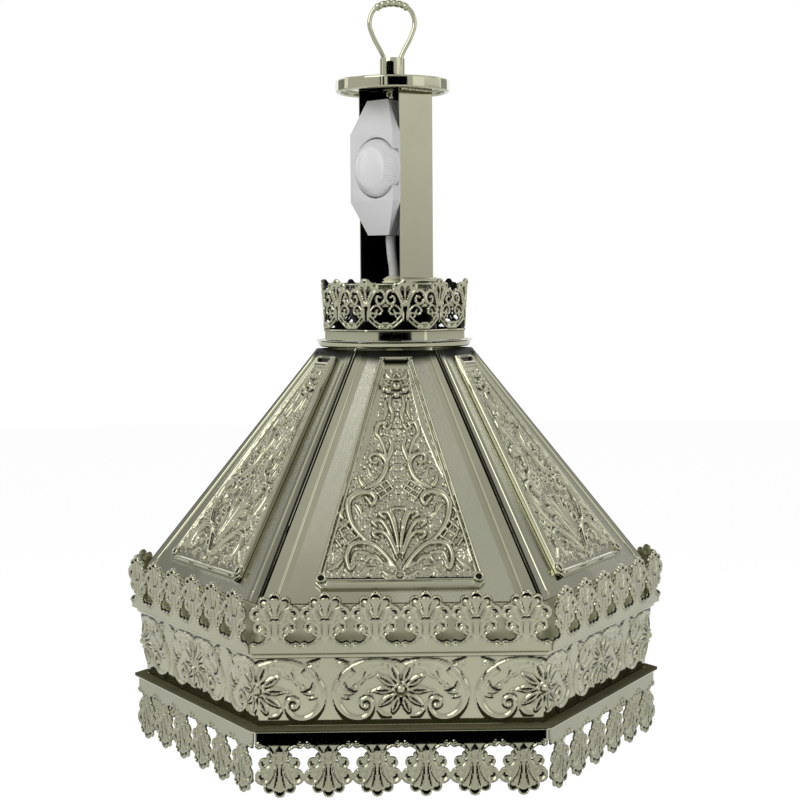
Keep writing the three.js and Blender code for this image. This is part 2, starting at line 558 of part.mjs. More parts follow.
// Lamp: a gland and a threaded tube through the cap, the cord in them, and the lampholder and bulb.
function cableGland() {
  const { radius, waist, bottom, top, bore } = GLAND;
  const lip = 1.2;
  return turned([
    [bore, bottom], [radius, bottom], [radius, bottom + lip], [waist, bottom + lip + 0.5],
    [waist + 0.8, bottom + 2.2], [waist, bottom + 2.8], [waist - 1.2, top - 0.6], [waist - 2, top], [bore, top],
  ], 20);
}
add('cable_gland', cableGland(), nickel());
add('lamp_tube', ring(TUBE.radius, TUBE.bore, TUBE.bottom, TUBE.top, 20), nickel());
const tubeNutTop = CAP.top - CAP.plate - GAP;
const tubeNutBore = circle(TUBE.radius + GAP, 20);
add('tube_nut', plate(circle(TUBE.nut, 6), tubeNutTop - TUBE.nutThick, tubeNutTop, [tubeNutBore]), nickel());

add('dimmer_cord', tube([
  [0, CORD.outlet, DIMMER.bottom - GAP], [0, CORD.outlet * 0.95, 274], [0, CORD.outlet * 0.5, 265], [0, 0, 256],
  [0, 0, 230], [0, 0, CORD.end],
], CORD.radius, CORD.sides, 22), plastic(COLOURS.cord), column);

add('lampholder', turned(HOLDER, 24), plastic(COLOURS.porcelain));

function bulb() {
  const { radius, middle, sweep, steps, neck } = BULB;
  const profile = [[0, middle - radius]];
  for (let i = 1; i <= steps; i += 1) {
    const angle = (i / steps) * sweep - Math.PI / 2;
    profile.push([radius * Math.cos(angle), middle + radius * Math.sin(angle)]);
  }
  return turned([...profile, ...neck], 20);
}
add('bulb', bulb(), new THREE.MeshStandardMaterial({ color: COLOURS.glass, roughness: 0.2, metalness: 0 }));

// The hook point, on the inside of the loop's crest, is the origin.
lantern.position.z = -HOOK_HEIGHT;
lantern.updateMatrixWorld(true);

export default lantern;
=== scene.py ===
# %% [markdown]
# A hanging chanters' lantern.
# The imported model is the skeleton: every solid of it is in the right place already. This lesson
# dresses it: it makes the surfaces that the eye reads as pressed, cast and spun metal, and puts each
# one exactly where the solid is that it stands for.

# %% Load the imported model
import math

import bmesh
import bpy
import numpy as np
from mathutils import Matrix, Vector


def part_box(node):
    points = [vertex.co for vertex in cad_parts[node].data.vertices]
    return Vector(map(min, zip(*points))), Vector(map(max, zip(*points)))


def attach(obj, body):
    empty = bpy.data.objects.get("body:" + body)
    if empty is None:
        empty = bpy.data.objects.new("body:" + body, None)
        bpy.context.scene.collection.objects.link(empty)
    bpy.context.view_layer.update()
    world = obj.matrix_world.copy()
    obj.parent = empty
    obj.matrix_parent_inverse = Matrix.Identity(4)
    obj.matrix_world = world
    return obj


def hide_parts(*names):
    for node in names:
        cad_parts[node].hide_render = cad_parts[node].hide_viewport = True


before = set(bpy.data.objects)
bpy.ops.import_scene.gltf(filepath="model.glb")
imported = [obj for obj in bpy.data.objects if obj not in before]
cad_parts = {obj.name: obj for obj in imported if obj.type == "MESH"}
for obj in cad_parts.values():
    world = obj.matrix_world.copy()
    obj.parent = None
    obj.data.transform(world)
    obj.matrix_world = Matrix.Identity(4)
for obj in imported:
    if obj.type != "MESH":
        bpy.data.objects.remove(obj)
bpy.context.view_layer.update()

scene = bpy.context.scene

# %% [markdown]
# The lantern is measured upward from the top of its lower flange, in millimetres, because that is
# where a maker would set it down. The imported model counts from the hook, so one number lowers
# everything at the end. A hexagon's size is its side, which is also its corner radius.

# %% Driving dimensions
MM = 0.001
HOOK = 423.2
SHEET = 1.0
GAP = 0.3
SIDES = 6
SIDE_NUMBERS = range(1, SIDES + 1)
ACROSS = math.cos(math.pi / SIDES)


def row_frame(points):
    """Lantern millimetres to metres from the hook: lower by the hook's height, then times 0.001."""
    return (np.asarray(points, float) - (0.0, 0.0, HOOK)) * MM


low_corner, high_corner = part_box("lower_flange")
print("lower flange, corner to corner:", round((high_corner.x - low_corner.x) / MM, 1), "mm")

# %% [markdown]
# The photograph's camera stood 1.1 metres away, a little above the roof's foot, tipped down by
# four degrees. A lens could be guessed and nudged by eye, but a pinhole fitted to the lantern's
# corners gives all numbers at once, so it is used as it came out: 1735 pixels of focal length on an
# 800 pixel picture.

# %% Camera
PICTURE = 800
FOCAL_PIXELS = 1735
SENSOR = 36.0
CAMERA_AT = (3.3, -1108.0, 251.0)
turn, tip, roll = (math.radians(a) for a in (-1.09, -3.93, -0.42))
heading = Matrix.Rotation(turn, 4, "Z")
camera = bpy.data.objects.new("camera", bpy.data.cameras.new("camera"))
scene.collection.objects.link(camera)
camera.data.sensor_width = SENSOR
camera.data.lens = FOCAL_PIXELS / PICTURE * SENSOR
camera.data.clip_start, camera.data.clip_end = 0.01, 50
stand = Matrix.Translation(Vector(row_frame(CAMERA_AT)))
aim = Matrix.Rotation(math.pi / 2 + tip, 4, "X") @ Matrix.Rotation(roll, 4, "Z")
camera.matrix_world = heading @ stand @ aim
scene.camera = camera
print("lens:", round(camera.data.lens, 2), "mm")

# %% [markdown]
# Polished metal has almost no colour of its own: it shows the room. So the room is made first. A
# white surround lit at half its brightness gives the plain studio: rays that reach the camera, also
# by way of the metal, see it white, and rays that light the lantern find it half as bright, so that
# pale surfaces don't clip.

# %% Surround
SURROUND_LIGHT = 0.5


def seen_rays(tree):
    """1 for camera, glossy and transmission rays and 0 for the others, as a socket."""
    path = tree.nodes.new("ShaderNodeLightPath")
    total = path.outputs["Is Camera Ray"]
    for name in ("Is Glossy Ray", "Is Transmission Ray"):
        add = tree.nodes.new("ShaderNodeMath")
        add.operation = "MAXIMUM"
        tree.links.new(total, add.inputs[0])
        tree.links.new(path.outputs[name], add.inputs[1])
        total = add.outputs[0]
    return total


def two_faced(tree, lighting, seen, output):
    """Mixes two shaders by the kind of ray, lighting x (1 - s) + seen x s, into a new output node."""
    choose = tree.nodes.new("ShaderNodeMixShader")
    for socket, source in zip(choose.inputs, (seen_rays(tree), lighting, seen)):
        tree.links.new(source, socket)
    tree.links.new(choose.outputs[0], tree.nodes.new(output).inputs["Surface"])


def even_colour(tree, kind, level):
    """A shader node of one even grey."""
    made = tree.nodes.new(kind)
    made.inputs["Color"].default_value = (level, level, level, 1)
    return made.outputs[0]


def empty_tree(holder):
    """The holder's own shader tree, with nothing in it."""
    holder.use_nodes = True
    holder.node_tree.nodes.clear()
    return holder.node_tree


world = bpy.data.worlds.new("studio")
scene.world = world
world_tree = empty_tree(world)
two_faced(world_tree, even_colour(world_tree, "ShaderNodeBackground", SURROUND_LIGHT),
          even_colour(world_tree, "ShaderNodeBackground", 1), "ShaderNodeOutputWorld")
scene.view_settings.view_transform = "Standard"
print("surround lights at", SURROUND_LIGHT, "and is seen as white")

# %% [markdown]
# Three square soft lights model the white plastic: a key from the left front, a weak fill from the
# right and one from behind and above, which parts the lantern from its background. They are weak,
# because nickel shows the room, and what lights it most is the surround.

# %% Lamps
# Each lamp's place, its size in metres and its watts.
LAMPS = {
    "key_softbox": ((-1100, -1300, 1300), 1.3, 15),
    "fill_softbox": ((1500, -900, 500), 1.2, 4),
    "top_softbox": ((200, 700, 1500), 1.4, 6),
}
LAMP_TARGET = (0, 0, 200)


def lamp(name, place, size, watts):
    """A square soft light, size in metres, at a place in lantern millimetres, looking at the lantern."""
    light = bpy.data.lights.new(name, "AREA")
    light.shape, light.size, light.energy = "SQUARE", size, watts
    obj = bpy.data.objects.new(name, light)
    scene.collection.objects.link(obj)
    here, there = Vector(row_frame(place)), Vector(row_frame(LAMP_TARGET))
    turned = (here - there).to_track_quat("Z", "Y").to_matrix().to_4x4()
    obj.matrix_world = Matrix.Translation(here) @ turned


for name, values in LAMPS.items():
    lamp(name, *values)
print("lamps:", len(LAMPS))

# %% [markdown]
# The floor is white paper far below, as the lantern hangs. Paper lit by soft light looks grey, so
# what the camera and the metal see of it gets a little glow of its own. What lights the lantern
# from below stays plain paper.

# %% Floor
FLOOR_AT = -580
FLOOR_REACH = 9000
PAPER, PAPER_GLOW = 0.86, 0.55


def flat_sheet(name, corners):
    """A four-cornered sheet in lantern millimetres that belongs to the room, not to the lantern."""
    mesh = bpy.data.meshes.new(name)
    mesh.from_pydata([tuple(p) for p in row_frame(corners)], [], [(0, 1, 2, 3)])
    obj = bpy.data.objects.new(name, mesh)
    scene.collection.objects.link(obj)
    return obj


def level_corners(x, y, z):
    """Corners of a level rectangle: x and y are pairs, from the first number to the second."""
    return [(x[0], y[0], z), (x[1], y[0], z), (x[1], y[1], z), (x[0], y[1], z)]


def upright_corners(x, y, z):
    """Corners of an upright sheet whose foot runs from the first x and y to the second."""
    return [(x[0], y[0], z[0]), (x[1], y[1], z[0]), (x[1], y[1], z[1]), (x[0], y[0], z[1])]


floor = flat_sheet("floor", level_corners((-FLOOR_REACH, FLOOR_REACH), (-FLOOR_REACH, FLOOR_REACH), FLOOR_AT))
paper = bpy.data.materials.new("floor_paper")
paper_tree = empty_tree(paper)
matt_paper = even_colour(paper_tree, "ShaderNodeBsdfDiffuse", PAPER)
glowing = paper_tree.nodes.new("ShaderNodeAddShader")
paper_tree.links.new(matt_paper, glowing.inputs[0])
paper_tree.links.new(even_colour(paper_tree, "ShaderNodeEmission", PAPER_GLOW), glowing.inputs[1])
two_faced(paper_tree, matt_paper, glowing.outputs[0], "ShaderNodeOutputMaterial")
floor.data.materials.append(paper)
print("floor", -FLOOR_AT, "mm below the lower flange")

# %% [markdown]
# The cards are what the nickel mirrors. Small black flags close to the front put the dark patches
# into the lowest band, the crown's band, the disc's rim and the socket, and two glints stand by
# them. Large grey and bright cards far off to both sides and overhead grade the panels. Each one is
# met by glossy rays only, so a card changes reflections and nothing else.

# %% Cards
CEILING = 1700
CARDS = {
    "flag_low_front": (upright_corners((-84, 84), (-152, -152), (-12.0, -2.7)), 0.0),
    "flag_crown": (upright_corners((-10.4, 10.6), (-75, -75), (212.6, 220)), 0.0),
    "flag_disc": (upright_corners((-21, 23), (-61, -61), (368, 384)), 0.0),
    "glint_disc_left": (upright_corners((-18.5, -16), (-60, -60), (369, 382)), 1.5),
    "glint_disc": (upright_corners((-13, -8.5), (-60, -60), (369, 382)), 1.3),
    "flag_socket": (upright_corners((-20, 4.5), (-17, -25.6), (378, 393)), 0.0),
    "card_right": (upright_corners((1500, 1500), (-700, 500), (180, 640)), (0.85, 0.85, 1.5, 1.5)),
    "card_over_front": (level_corners((-700, 700), (-1400, -490), CEILING), (0.9, 0.55, 0.75, 1.45)),
    "flag_ceiling": (level_corners((-280, 280), (-490, 200), CEILING), 0.0),
    "card_overhead": (level_corners((-1600, 1600), (200, 620), CEILING), 1.9),
    "card_over_back": (level_corners((-1600, 1600), (620, 1900), CEILING), 0.35),
}
for word, hand, grey in (("left", -1, 0.44), ("right", 1, 0.58)):
    CARDS[f"grey_{word}"] = (upright_corners((hand * 1010, hand * 650), (420, 815), (225, 720)), grey)
    CARDS[f"bright_{word}"] = (upright_corners((hand * 1743, hand * 657), (370, 1546), (230, 1400)), 1.8)


def card(name, corners, levels):
    """A sheet that gives off grey, evenly graded between the levels at its four corners."""
    obj = flat_sheet(name, corners)
    layer = obj.data.attributes.new("level", "FLOAT", "POINT")
    layer.data.foreach_set("value", np.broadcast_to(levels, 4).astype("f"))
    material = bpy.data.materials.new(name)
    tree = empty_tree(material)
    grade = tree.nodes.new("ShaderNodeAttribute")
    grade.attribute_name = "level"
    shine = tree.nodes.new("ShaderNodeEmission")
    tree.links.new(grade.outputs["Fac"], shine.inputs["Strength"])
    tree.links.new(shine.outputs[0], tree.nodes.new("ShaderNodeOutputMaterial").inputs["Surface"])
    obj.data.materials.append(material)
    obj.visible_camera = obj.visible_diffuse = obj.visible_shadow = obj.visible_transmission = False


for name, (corners, levels) in CARDS.items():
    card(name, corners, levels)
print("cards:", len(CARDS))

# %% [markdown]
# A material is a small sum: how bright, how rough, how bumpy, and where. Building it by hand from
# boxes and wires hides that sum, so one class wraps a socket and lets Python's own + - * build the
# Math nodes. Everything else, a noise or a ramp, comes from one node() method.

# %% Shader arithmetic
class Wire:
    """One output socket of a recipe. Arithmetic on it adds the Math node that does the sum."""

    def __init__(self, recipe, socket):
        self.recipe, self.socket = recipe, socket

    def sum(self, operation, first, second):
        """A Math node of that operation on two numbers or wires."""
        return self.recipe.node("ShaderNodeMath", {"operation": operation}, {0: first, 1: second})

    def __add__(self, other):
        return self.sum("ADD", self, other)

    def __mul__(self, other):
        return self.sum("MULTIPLY", self, other)

    def __sub__(self, other):
        return self.sum("SUBTRACT", self, other)

    def __rsub__(self, other):
        return self.sum("SUBTRACT", other, self)

    __radd__, __rmul__ = __add__, __mul__


class Recipe:
    """A material on its way: a Principled shader and the nodes that feed it."""

    def __init__(self, name, **constants):
        self.material = bpy.data.materials.new(name)
        self.material.use_nodes = True
        self.tree = self.material.node_tree
        self.shader = self.tree.nodes["Principled BSDF"]
        self.set(**constants)

    def set(self, **sockets):
        """Sets or links the shader's own sockets; a low line in a name stands for a space."""
        for name, value in sockets.items():
            self.plug(self.shader.inputs[name.replace("_", " ")], value)

    def plug(self, socket, value):
        """Links a wire to the socket, or writes a plain value or colour into it."""
        if isinstance(value, Wire):
            self.tree.links.new(value.socket, socket)
        elif isinstance(value, tuple) and len(value) == 3 and socket.type == "RGBA":
            socket.default_value = (*value, 1.0)
        else:
            socket.default_value = value

    def node(self, kind, settings=None, sockets=None, output=0):
        """Adds a node: its settings first, then the values or wires of its sockets."""
        made = self.tree.nodes.new(kind)
        for key, value in (settings or {}).items():
            setattr(made, key, value)
        for key, value in (sockets or {}).items():
            self.plug(made.inputs[key], value)
        return Wire(self, made.outputs[output])

    def noise(self, scale, detail=2.0, roughness=0.5):
        """Cloudy numbers around 0.5 on Object coordinates; scale counts clouds per metre."""
        where = self.node("ShaderNodeTexCoord", output="Object")
        return self.node("ShaderNodeTexNoise", {}, {"Vector": where, "Scale": scale, "Detail": detail,
                                                    "Roughness": roughness})

    def mask(self, value, low, high):
        """0 below low, 1 above high, and an even rise between them."""
        return self.node("ShaderNodeMapRange", {"clamp": True},
                         {"Value": value, "From Min": low, "From Max": high})

    def blend(self, factor, first, second):
        """The first colour where factor is 0 and the second where it is 1."""
        return self.node("ShaderNodeMix", {"data_type": "RGBA"}, {0: factor, 6: first, 7: second}, output=2)

    def attribute(self, name):
        """The numbers of that name on the mesh's points."""
        return self.node("ShaderNodeAttribute", {"attribute_name": name}, output="Fac")

    def bump(self, height):
        """A Bump node for a height in millimetres."""
        return self.node("ShaderNodeBump", {}, {"Height": height, "Distance": MM}, output="Normal")


def shades(colour, shift):
    """The colour darkened and lightened by a share of itself, and never above 1."""
    return [tuple(min(1.0, c * (1 + change)) for c in colour) for change in (-shift, shift)]


print("a grey's two shades:", shades((0.5, 0.5, 0.5), 0.1))

# %% [markdown]
# The lantern's metal is pressed steel with a polished nickel plate. Three things may be written into
# a piece's own mesh as numbers on its points: one says how deep a point lies in the ornament, and
# darkens it there as painted shade; one says where the sheet was blasted to a matt grain, which is
# also painted paler there as a sheen; and one says where black is painted as shade. The material
# reads all three, so one recipe serves every piece.

# %% Nickel plate
NICKEL = (0.345, 0.345, 0.25)
# The blasted strips' paler colour is a painted sheen; the next two colours are painted shade, in recesses and
# black.
BLASTED_SHEEN = (0.54, 0.54, 0.44)
RECESS_SHADE = (0.006, 0.006, 0.004)
PAINTED_SHADE_BLACK = (0.002, 0.002, 0.0015)
POLISH = 0.045
DULLED = {"haze": 0.06, "frost_and_sheen": 0.16, "recess": 0.2, "painted_shade": 0.4}
GRAIN, RIPPLE = 0.24, 0.08


def nickel_plate():
    """Roughness = polish + each kind of dullness times its share; bump = blasted grain + ripple."""
    recipe = Recipe("nickel_plate", Metallic=1.0)
    cloud = recipe.mask(recipe.noise(16, 3), 0.3, 0.7)
    haze = recipe.noise(140, 4, 0.6)
    recess, frost_and_sheen, painted_shade = (recipe.attribute(name) for name in ("recess", "frost_and_sheen", "painted_shade"))
    # Paler where blasted, a painted sheen; darker in recesses and black where marked, painted shade.
    polished = recipe.blend(frost_and_sheen, recipe.blend(cloud, *shades(NICKEL, 0.07)), BLASTED_SHEEN)
    recess_shaded = recipe.blend(recess, polished, RECESS_SHADE)
    recipe.set(Base_Color=recipe.blend(painted_shade, recess_shaded, PAINTED_SHADE_BLACK))
    recipe.set(Roughness=POLISH + haze * DULLED["haze"] + frost_and_sheen * DULLED["frost_and_sheen"] + recess * DULLED["recess"]
               + painted_shade * DULLED["painted_shade"])
    grain = (recipe.noise(2300, 2) - 0.5) * frost_and_sheen * GRAIN
    recipe.set(Normal=recipe.bump(grain + recipe.noise(45, 1) * RIPPLE))
    return recipe.material


NICKEL_PLATE = nickel_plate()
print("nickel:", len(NICKEL_PLATE.node_tree.nodes), "nodes")

# %% [markdown]
# Where no cloth reaches, the plate is dull: on the skirt, on the ledges and on the screws. Such metal
# has no sharp reflections to carry it, so a mottle in its colour and roughness has to. How metallic
# it is says how much of the room it still mirrors. The skirt's metal is also made far paler than the
# plate: a painted light, for the galleries shade it.

# %% Dull metal
def dull_metal(name, colour, roughness, noise_scale, metallic):
    """Colour and roughness follow one noise: 30% darker to 30% lighter, and up to 0.2 rougher."""
    recipe = Recipe(name, Metallic=metallic)
    mottle = recipe.noise(noise_scale, 4, 0.6)
    recipe.set(Base_Color=recipe.blend(mottle, *shades(colour, 0.3)))
    recipe.set(Roughness=roughness + mottle * 0.2)
    recipe.set(Normal=recipe.bump(mottle * 0.05), Specular_IOR_Level=0.5 * metallic)
    return recipe.material


DARK_STEEL = dull_metal("dark_steel", (0.015, 0.015, 0.012), roughness=0.5, noise_scale=400, metallic=0.0)
# Paler than the plate: a painted light on the shaded skirt, its ledge and the cord's gland.
DULL_SKIRT_PAINTED_LIGHT = dull_metal("dull_skirt_painted_light", (0.76, 0.76, 0.56), roughness=0.35, noise_scale=60, metallic=0.3)
FLANGE_TOP = dull_metal("dull_flange", (0.1, 0.095, 0.055), roughness=0.7, noise_scale=70, metallic=0.0)
print("dull metals:", [m.name for m in (DARK_STEEL, DULL_SKIRT_PAINTED_LIGHT, FLANGE_TOP)])

# %% [markdown]
# The plastics, the glazed holder, the opal bulb and the cord's sheath are not metal, so their
# colour is their own. Each gets a faint mottle, a moulded or sprayed grain in the bump, and a
# roughness that drifts, because a surface with one even value looks like a drawing.

# %% Plastics, glaze and glass
def moulded(name, colour, roughness, grain, height, shift=0.05, **constants):
    """A non-metal: its colour drifts by shift, and its grain has a number per metre and a height in mm."""
    recipe = Recipe(name, **constants)
    drift = recipe.noise(35, 3)
    fine = recipe.noise(grain, 2)
    recipe.set(Base_Color=recipe.blend(drift, *shades(colour, shift)))
    recipe.set(Roughness=roughness + fine * 0.12)
    recipe.set(Normal=recipe.bump(fine * height))
    return recipe.material


WHITE_SHELL = moulded("white_shell", (0.68, 0.68, 0.68), roughness=0.3, grain=1600, height=0.02)
DIAL_SHELL = moulded("dial_shell", (0.76, 0.76, 0.76), roughness=0.24, grain=300, height=0.004,
                     Coat_Weight=0.3)
SHEATH = moulded("cord_sheath", (0.62, 0.62, 0.62), roughness=0.42, grain=700, height=0.04)
LAMINATE = moulded("circuit_laminate", (0.06, 0.16, 0.06), roughness=0.4, grain=500, height=0.02, shift=0.3)
GLAZE = moulded("porcelain_glaze", (0.85, 0.83, 0.78), roughness=0.12, grain=120, height=0.04,
                Coat_Weight=0.5)
OPAL = moulded("opal_glass", (0.92, 0.91, 0.86), roughness=0.1, grain=60, height=0.01,
               Transmission_Weight=0.25)
print("materials:", len(bpy.data.materials))

# %% [markdown]
# Every new surface is a grid of points: rows one way, columns the other. Four neighbours make a
# face. Where a row has shrunk to one point, as at a pole, the face becomes a triangle. Which way the
# faces look is settled once, at the end: a closed shell encloses a positive volume if they look out,
# so a negative sum turns them all round.

# %% Grids and their faces
def numbered(shape):
    """A grid of point numbers, row after row from 0."""
    return np.arange(shape[0] * shape[1]).reshape(shape[:2])


def grid_faces(index, wrap_rows=False, wrap_columns=False):
    """Faces between neighbours of an index grid, on from the last row or column to the first if it wraps."""
    full = np.concatenate([index, index[:1]]) if wrap_rows else index
    full = np.concatenate([full, full[:, :1]], axis=1) if wrap_columns else full
    return np.stack([full[:-1, :-1], full[:-1, 1:], full[1:, 1:], full[1:, :-1]], -1).reshape(-1, 4)


def clean_groups(groups):
    """Drops faces that have shrunk to a line, and makes a triangle of a face with a double corner."""
    clean = []
    for group in (np.asarray(g, np.int64) for g in groups):
        same = group == np.roll(group, -1, axis=1)
        clean.append(group[~same.any(1)])
        if group.shape[1] == 4:
            once = same.sum(1) == 1
            clean.append(group[once][~same[once]].reshape(-1, 3))
    return [group for group in clean if len(group)]


def enclosed(points, groups):
    """Six times the enclosed volume: the sum of a . (b x c) over fans of triangles."""
    return sum(np.einsum("fj,fkj->", points[g[:, 0]], np.cross(points[g[:, 1:-1]], points[g[:, 2:]]))
               for g in groups)


print("grid of 3 by 4 points, closed both ways:", len(grid_faces(numbered((3, 4)), True, True)), "faces")

# %% [markdown]
# A finished piece is more than a mesh. It rides the body that moves it, hides the imported solids
# that it stands for, and may carry numbers on its points for the material to read. One function does
# all this for every mesh that is made from points.

# %% A piece
triangles = {}


def new_piece(name, points, groups, material, place=None, body="lantern", slot="nickel_plate", replaces=(),
              sharp=35, values=None):
    """A mesh from points, which place may move, and groups of faces, riding a body. Measures are
    lantern millimetres. values are numbers on the points, by name, and edges bent by more than sharp
    degrees stay crisp."""
    points = np.asarray(points, float).reshape(-1, 3)
    points = place(points) if place else points
    groups = clean_groups(groups)
    if enclosed(points, groups) < 0:
        groups = [group[:, ::-1] for group in groups]
    counts = np.concatenate([np.full(len(group), group.shape[1]) for group in groups])
    corners = np.concatenate([group.ravel() for group in groups])
    mesh = bpy.data.meshes.new(name)
    mesh.vertices.add(len(points))
    mesh.vertices.foreach_set("co", row_frame(points).astype(np.float32).ravel())
    mesh.loops.add(len(corners))
    mesh.loops.foreach_set("vertex_index", corners.astype(np.int32))
    mesh.polygons.add(len(counts))
    mesh.polygons.foreach_set("loop_start", (np.cumsum(counts) - counts).astype(np.int32))
    mesh.update(calc_edges=True)
    mesh.shade_smooth()
    mesh.set_sharp_from_angle(angle=math.radians(sharp))
    for key, numbers in (values or {}).items():
        layer = mesh.attributes.new(key, "FLOAT", "POINT")
        layer.data.foreach_set("value", np.asarray(numbers, np.float32).ravel())
    mesh.materials.append(material)
    obj = bpy.data.objects.new(name, mesh)
    scene.collection.objects.link(obj)
    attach(obj, body)
    if replaces:
        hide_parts(*replaces)
    triangles[name] = int((counts - 2).sum())


# %% [markdown]
# Outlines are written with as few points as their shape needs. Two functions then give them the
# roundness of real metal: one rounds off each corner, as a fold or a turned edge is, and the other
# draws a smooth line through all points, as a bent wire or an engraved scroll runs.

# %% Rounding and smoothing
def rounded(line, radius=0.4, closed=True, steps=4):
    """Rounds each corner b of a line: from a point before it to one after it, a radius away or less,
    (1-s)^2 first + 2s(1-s) b + s^2 last."""
    p = np.asarray(line, float)
    before, after = np.roll(p, 1, 0) - p, np.roll(p, -1, 0) - p
    ends = []
    for arm in (before, after):
        length = np.maximum(np.linalg.norm(arm, axis=1, keepdims=True), 1e-9)
        ends.append(p + arm * np.minimum(radius, length * 0.45) / length)
    s = np.linspace(0, 1, steps)[None, :, None]
    curve = (1 - s) ** 2 * ends[0][:, None] + 2 * s * (1 - s) * p[:, None] + s ** 2 * ends[1][:, None]
    line = curve.reshape(-1, p.shape[1])
    return line if closed else np.concatenate([p[:1], line[steps:-steps], p[-1:]])


def smooth(points, steps):
    """Catmull-Rom through the points: 0.5 (2b + (c-a)s + (2a-5b+4c-d)s^2 + (3b-a-3c+d)s^3) from b to c."""
    p = np.asarray(points, float)
    p = np.concatenate([2 * p[:1] - p[1:2], p, 2 * p[-1:] - p[-2:-1]])
    a, b, c, d = p[:-3, None], p[1:-2, None], p[2:-1, None], p[3:, None]
    s = np.linspace(0, 1, steps, endpoint=False)[None, :, None]
    curved, bent = 2 * a - 5 * b + 4 * c - d, 3 * b - a - 3 * c + d
    run = 0.5 * (2 * b + (c - a) * s + curved * s ** 2 + bent * s ** 3)
    return np.concatenate([run.reshape(-1, p.shape[1]), p[-2:-1]])


def way_along(line):
    """How far each point of a line lies from its start: the running sum of the steps between points."""
    return np.concatenate([[0], np.cumsum(np.linalg.norm(np.diff(line, axis=0), axis=1))])


def half_round(offset):
    """Height of a round bar's upper half, sqrt(1 - offset^2), and 0 beyond its sides."""
    return np.sqrt(np.clip(1 - offset ** 2, 0, 1))


def side_by_side(*parts):
    """Coordinates, stretched to one grid, as points (x, y) or (x, y, z)."""
    return np.stack(np.broadcast_arrays(*parts), -1)


print("rounded square:", len(rounded([(0, 0), (1, 0), (1, 1), (0, 1)])), "points")

# %% [markdown]
# Three ways of making a part cover nearly everything on the lantern. Turned parts are a profile spun
# round the upright axis. Bent wire, cord and folded sheet are a section carried along a flat path.
# And the shade's rings are a profile carried round a hexagon with small round corners.

# %% Spinning, sweeping and going round the hexagon
FULL_TURN = 2 * math.pi


def spin(name, profile, material, segments, radius=0.4, ripple=None, painted_shade=None, **rest):
    """The profile point (r, h) at angle a stands at (r cos a, r sin a, h). ripple(a, r, h) adds to r, and a
    second function of (r, h) says how much black is painted there, as shade. A profile that begins on
    the axis ends there too, and closes at its poles."""
    poles = profile[0][0] == 0
    line = rounded(profile, radius, closed=not poles)
    a = np.linspace(0, FULL_TURN, segments, endpoint=False)[:, None]
    r, h = line[None, :, 0] + 0 * a, line[None, :, 1] + 0 * a
    if ripple:
        r = r + ripple(a, r, h)
    index = numbered(r.shape)
    if poles:
        index[:, [0, -1]] = index[:1, [0, -1]]
    if painted_shade:
        rest["values"] = {"painted_shade": painted_shade(r, h)}
    new_piece(name, side_by_side(r * np.cos(a), r * np.sin(a), h), [grid_faces(index, True, not poles)],
              material, **rest)


def sweep(name, path, normal, section, material, **rest):
    """Carries a closed section along a path that lies in a plane with that normal n: a section point
    (a, b) stands at p + a (t x n) + b n, where t is the path's direction. Both ends are closed."""
    path, normal = np.asarray(path, float), np.asarray(normal, float)
    along = np.gradient(path, axis=0)
    along /= np.linalg.norm(along, axis=1, keepdims=True)
    aside = np.cross(along, normal)
    section = np.broadcast_to(section, (len(path), *np.shape(section)[-2:]))
    points = path[:, None] + section[..., :1] * aside[:, None] + section[..., 1:] * normal
    index = numbered(points.shape)
    faces = [grid_faces(index, wrap_columns=True), index[:1], index[-1:, ::-1]]
    new_piece(name, points, faces, material, **rest)


def circle(radius, sides):
    """Points (radius cos a, radius sin a) at even angles."""
    a = np.linspace(0, FULL_TURN, sides, endpoint=False)
    return radius * np.stack([np.cos(a), np.sin(a)], -1)


CORNER_RADIUS, CORNER_POINTS = 1.2, 5


def hexagon_ring(name, profile, material, radius=0.4, **rest):
    """A closed profile of (side, height) carried round a hexagon whose corners, at 0, 60, 120 degrees,
    are arcs: each arc's middle lies side - radius / cos 30 from the axis, and it spans 30 degrees to
    both sides of the corner's own direction."""
    line = rounded(profile, radius)
    aim = np.repeat(np.arange(SIDES) * math.pi / 3, CORNER_POINTS)
    turn_at = aim + np.tile(np.linspace(-math.pi / 6, math.pi / 6, CORNER_POINTS), SIDES)
    out = line[:, :1] - CORNER_RADIUS / ACROSS
    x = out * np.cos(aim) + CORNER_RADIUS * np.cos(turn_at)
    y = out * np.sin(aim) + CORNER_RADIUS * np.sin(turn_at)
    points = side_by_side(x, y, line[:, 1:])
    new_piece(name, points, [grid_faces(numbered(x.shape), True, True)], material, **rest)


print("a circle's first point:", circle(1.0, 8)[0])

# %% [markdown]
# The rings of the shade are sheet metal. The lower flange is the widest: its top is a flat ledge,
# dark and matt. The upper flange and the skirt under the roof complete the stack; the skirt and the
# upper flange's ledge are painted paler than the plate, a painted light where the galleries shade
# them. The dullness is a film a few hundredths of a millimetre thick, laid on the ring as a piece of
# its own.

# %% Flanges and skirt
FLANGE_INNER, FLANGE_SIDE = 150, 169
LOWER_THICK = 2.2
UPPER_LOW, UPPER_HIGH = 42.8, 44.4
SKIRT_SIDE, SKIRT_LOW, SKIRT_HIGH = 160.2, 44.7, 69.1
FILM = 0.06


def box_profile(inner, outer, low, high):
    """The four corners of an upright rectangle, as (side, height)."""
    return [(inner, low), (outer, low), (outer, high), (inner, high)]


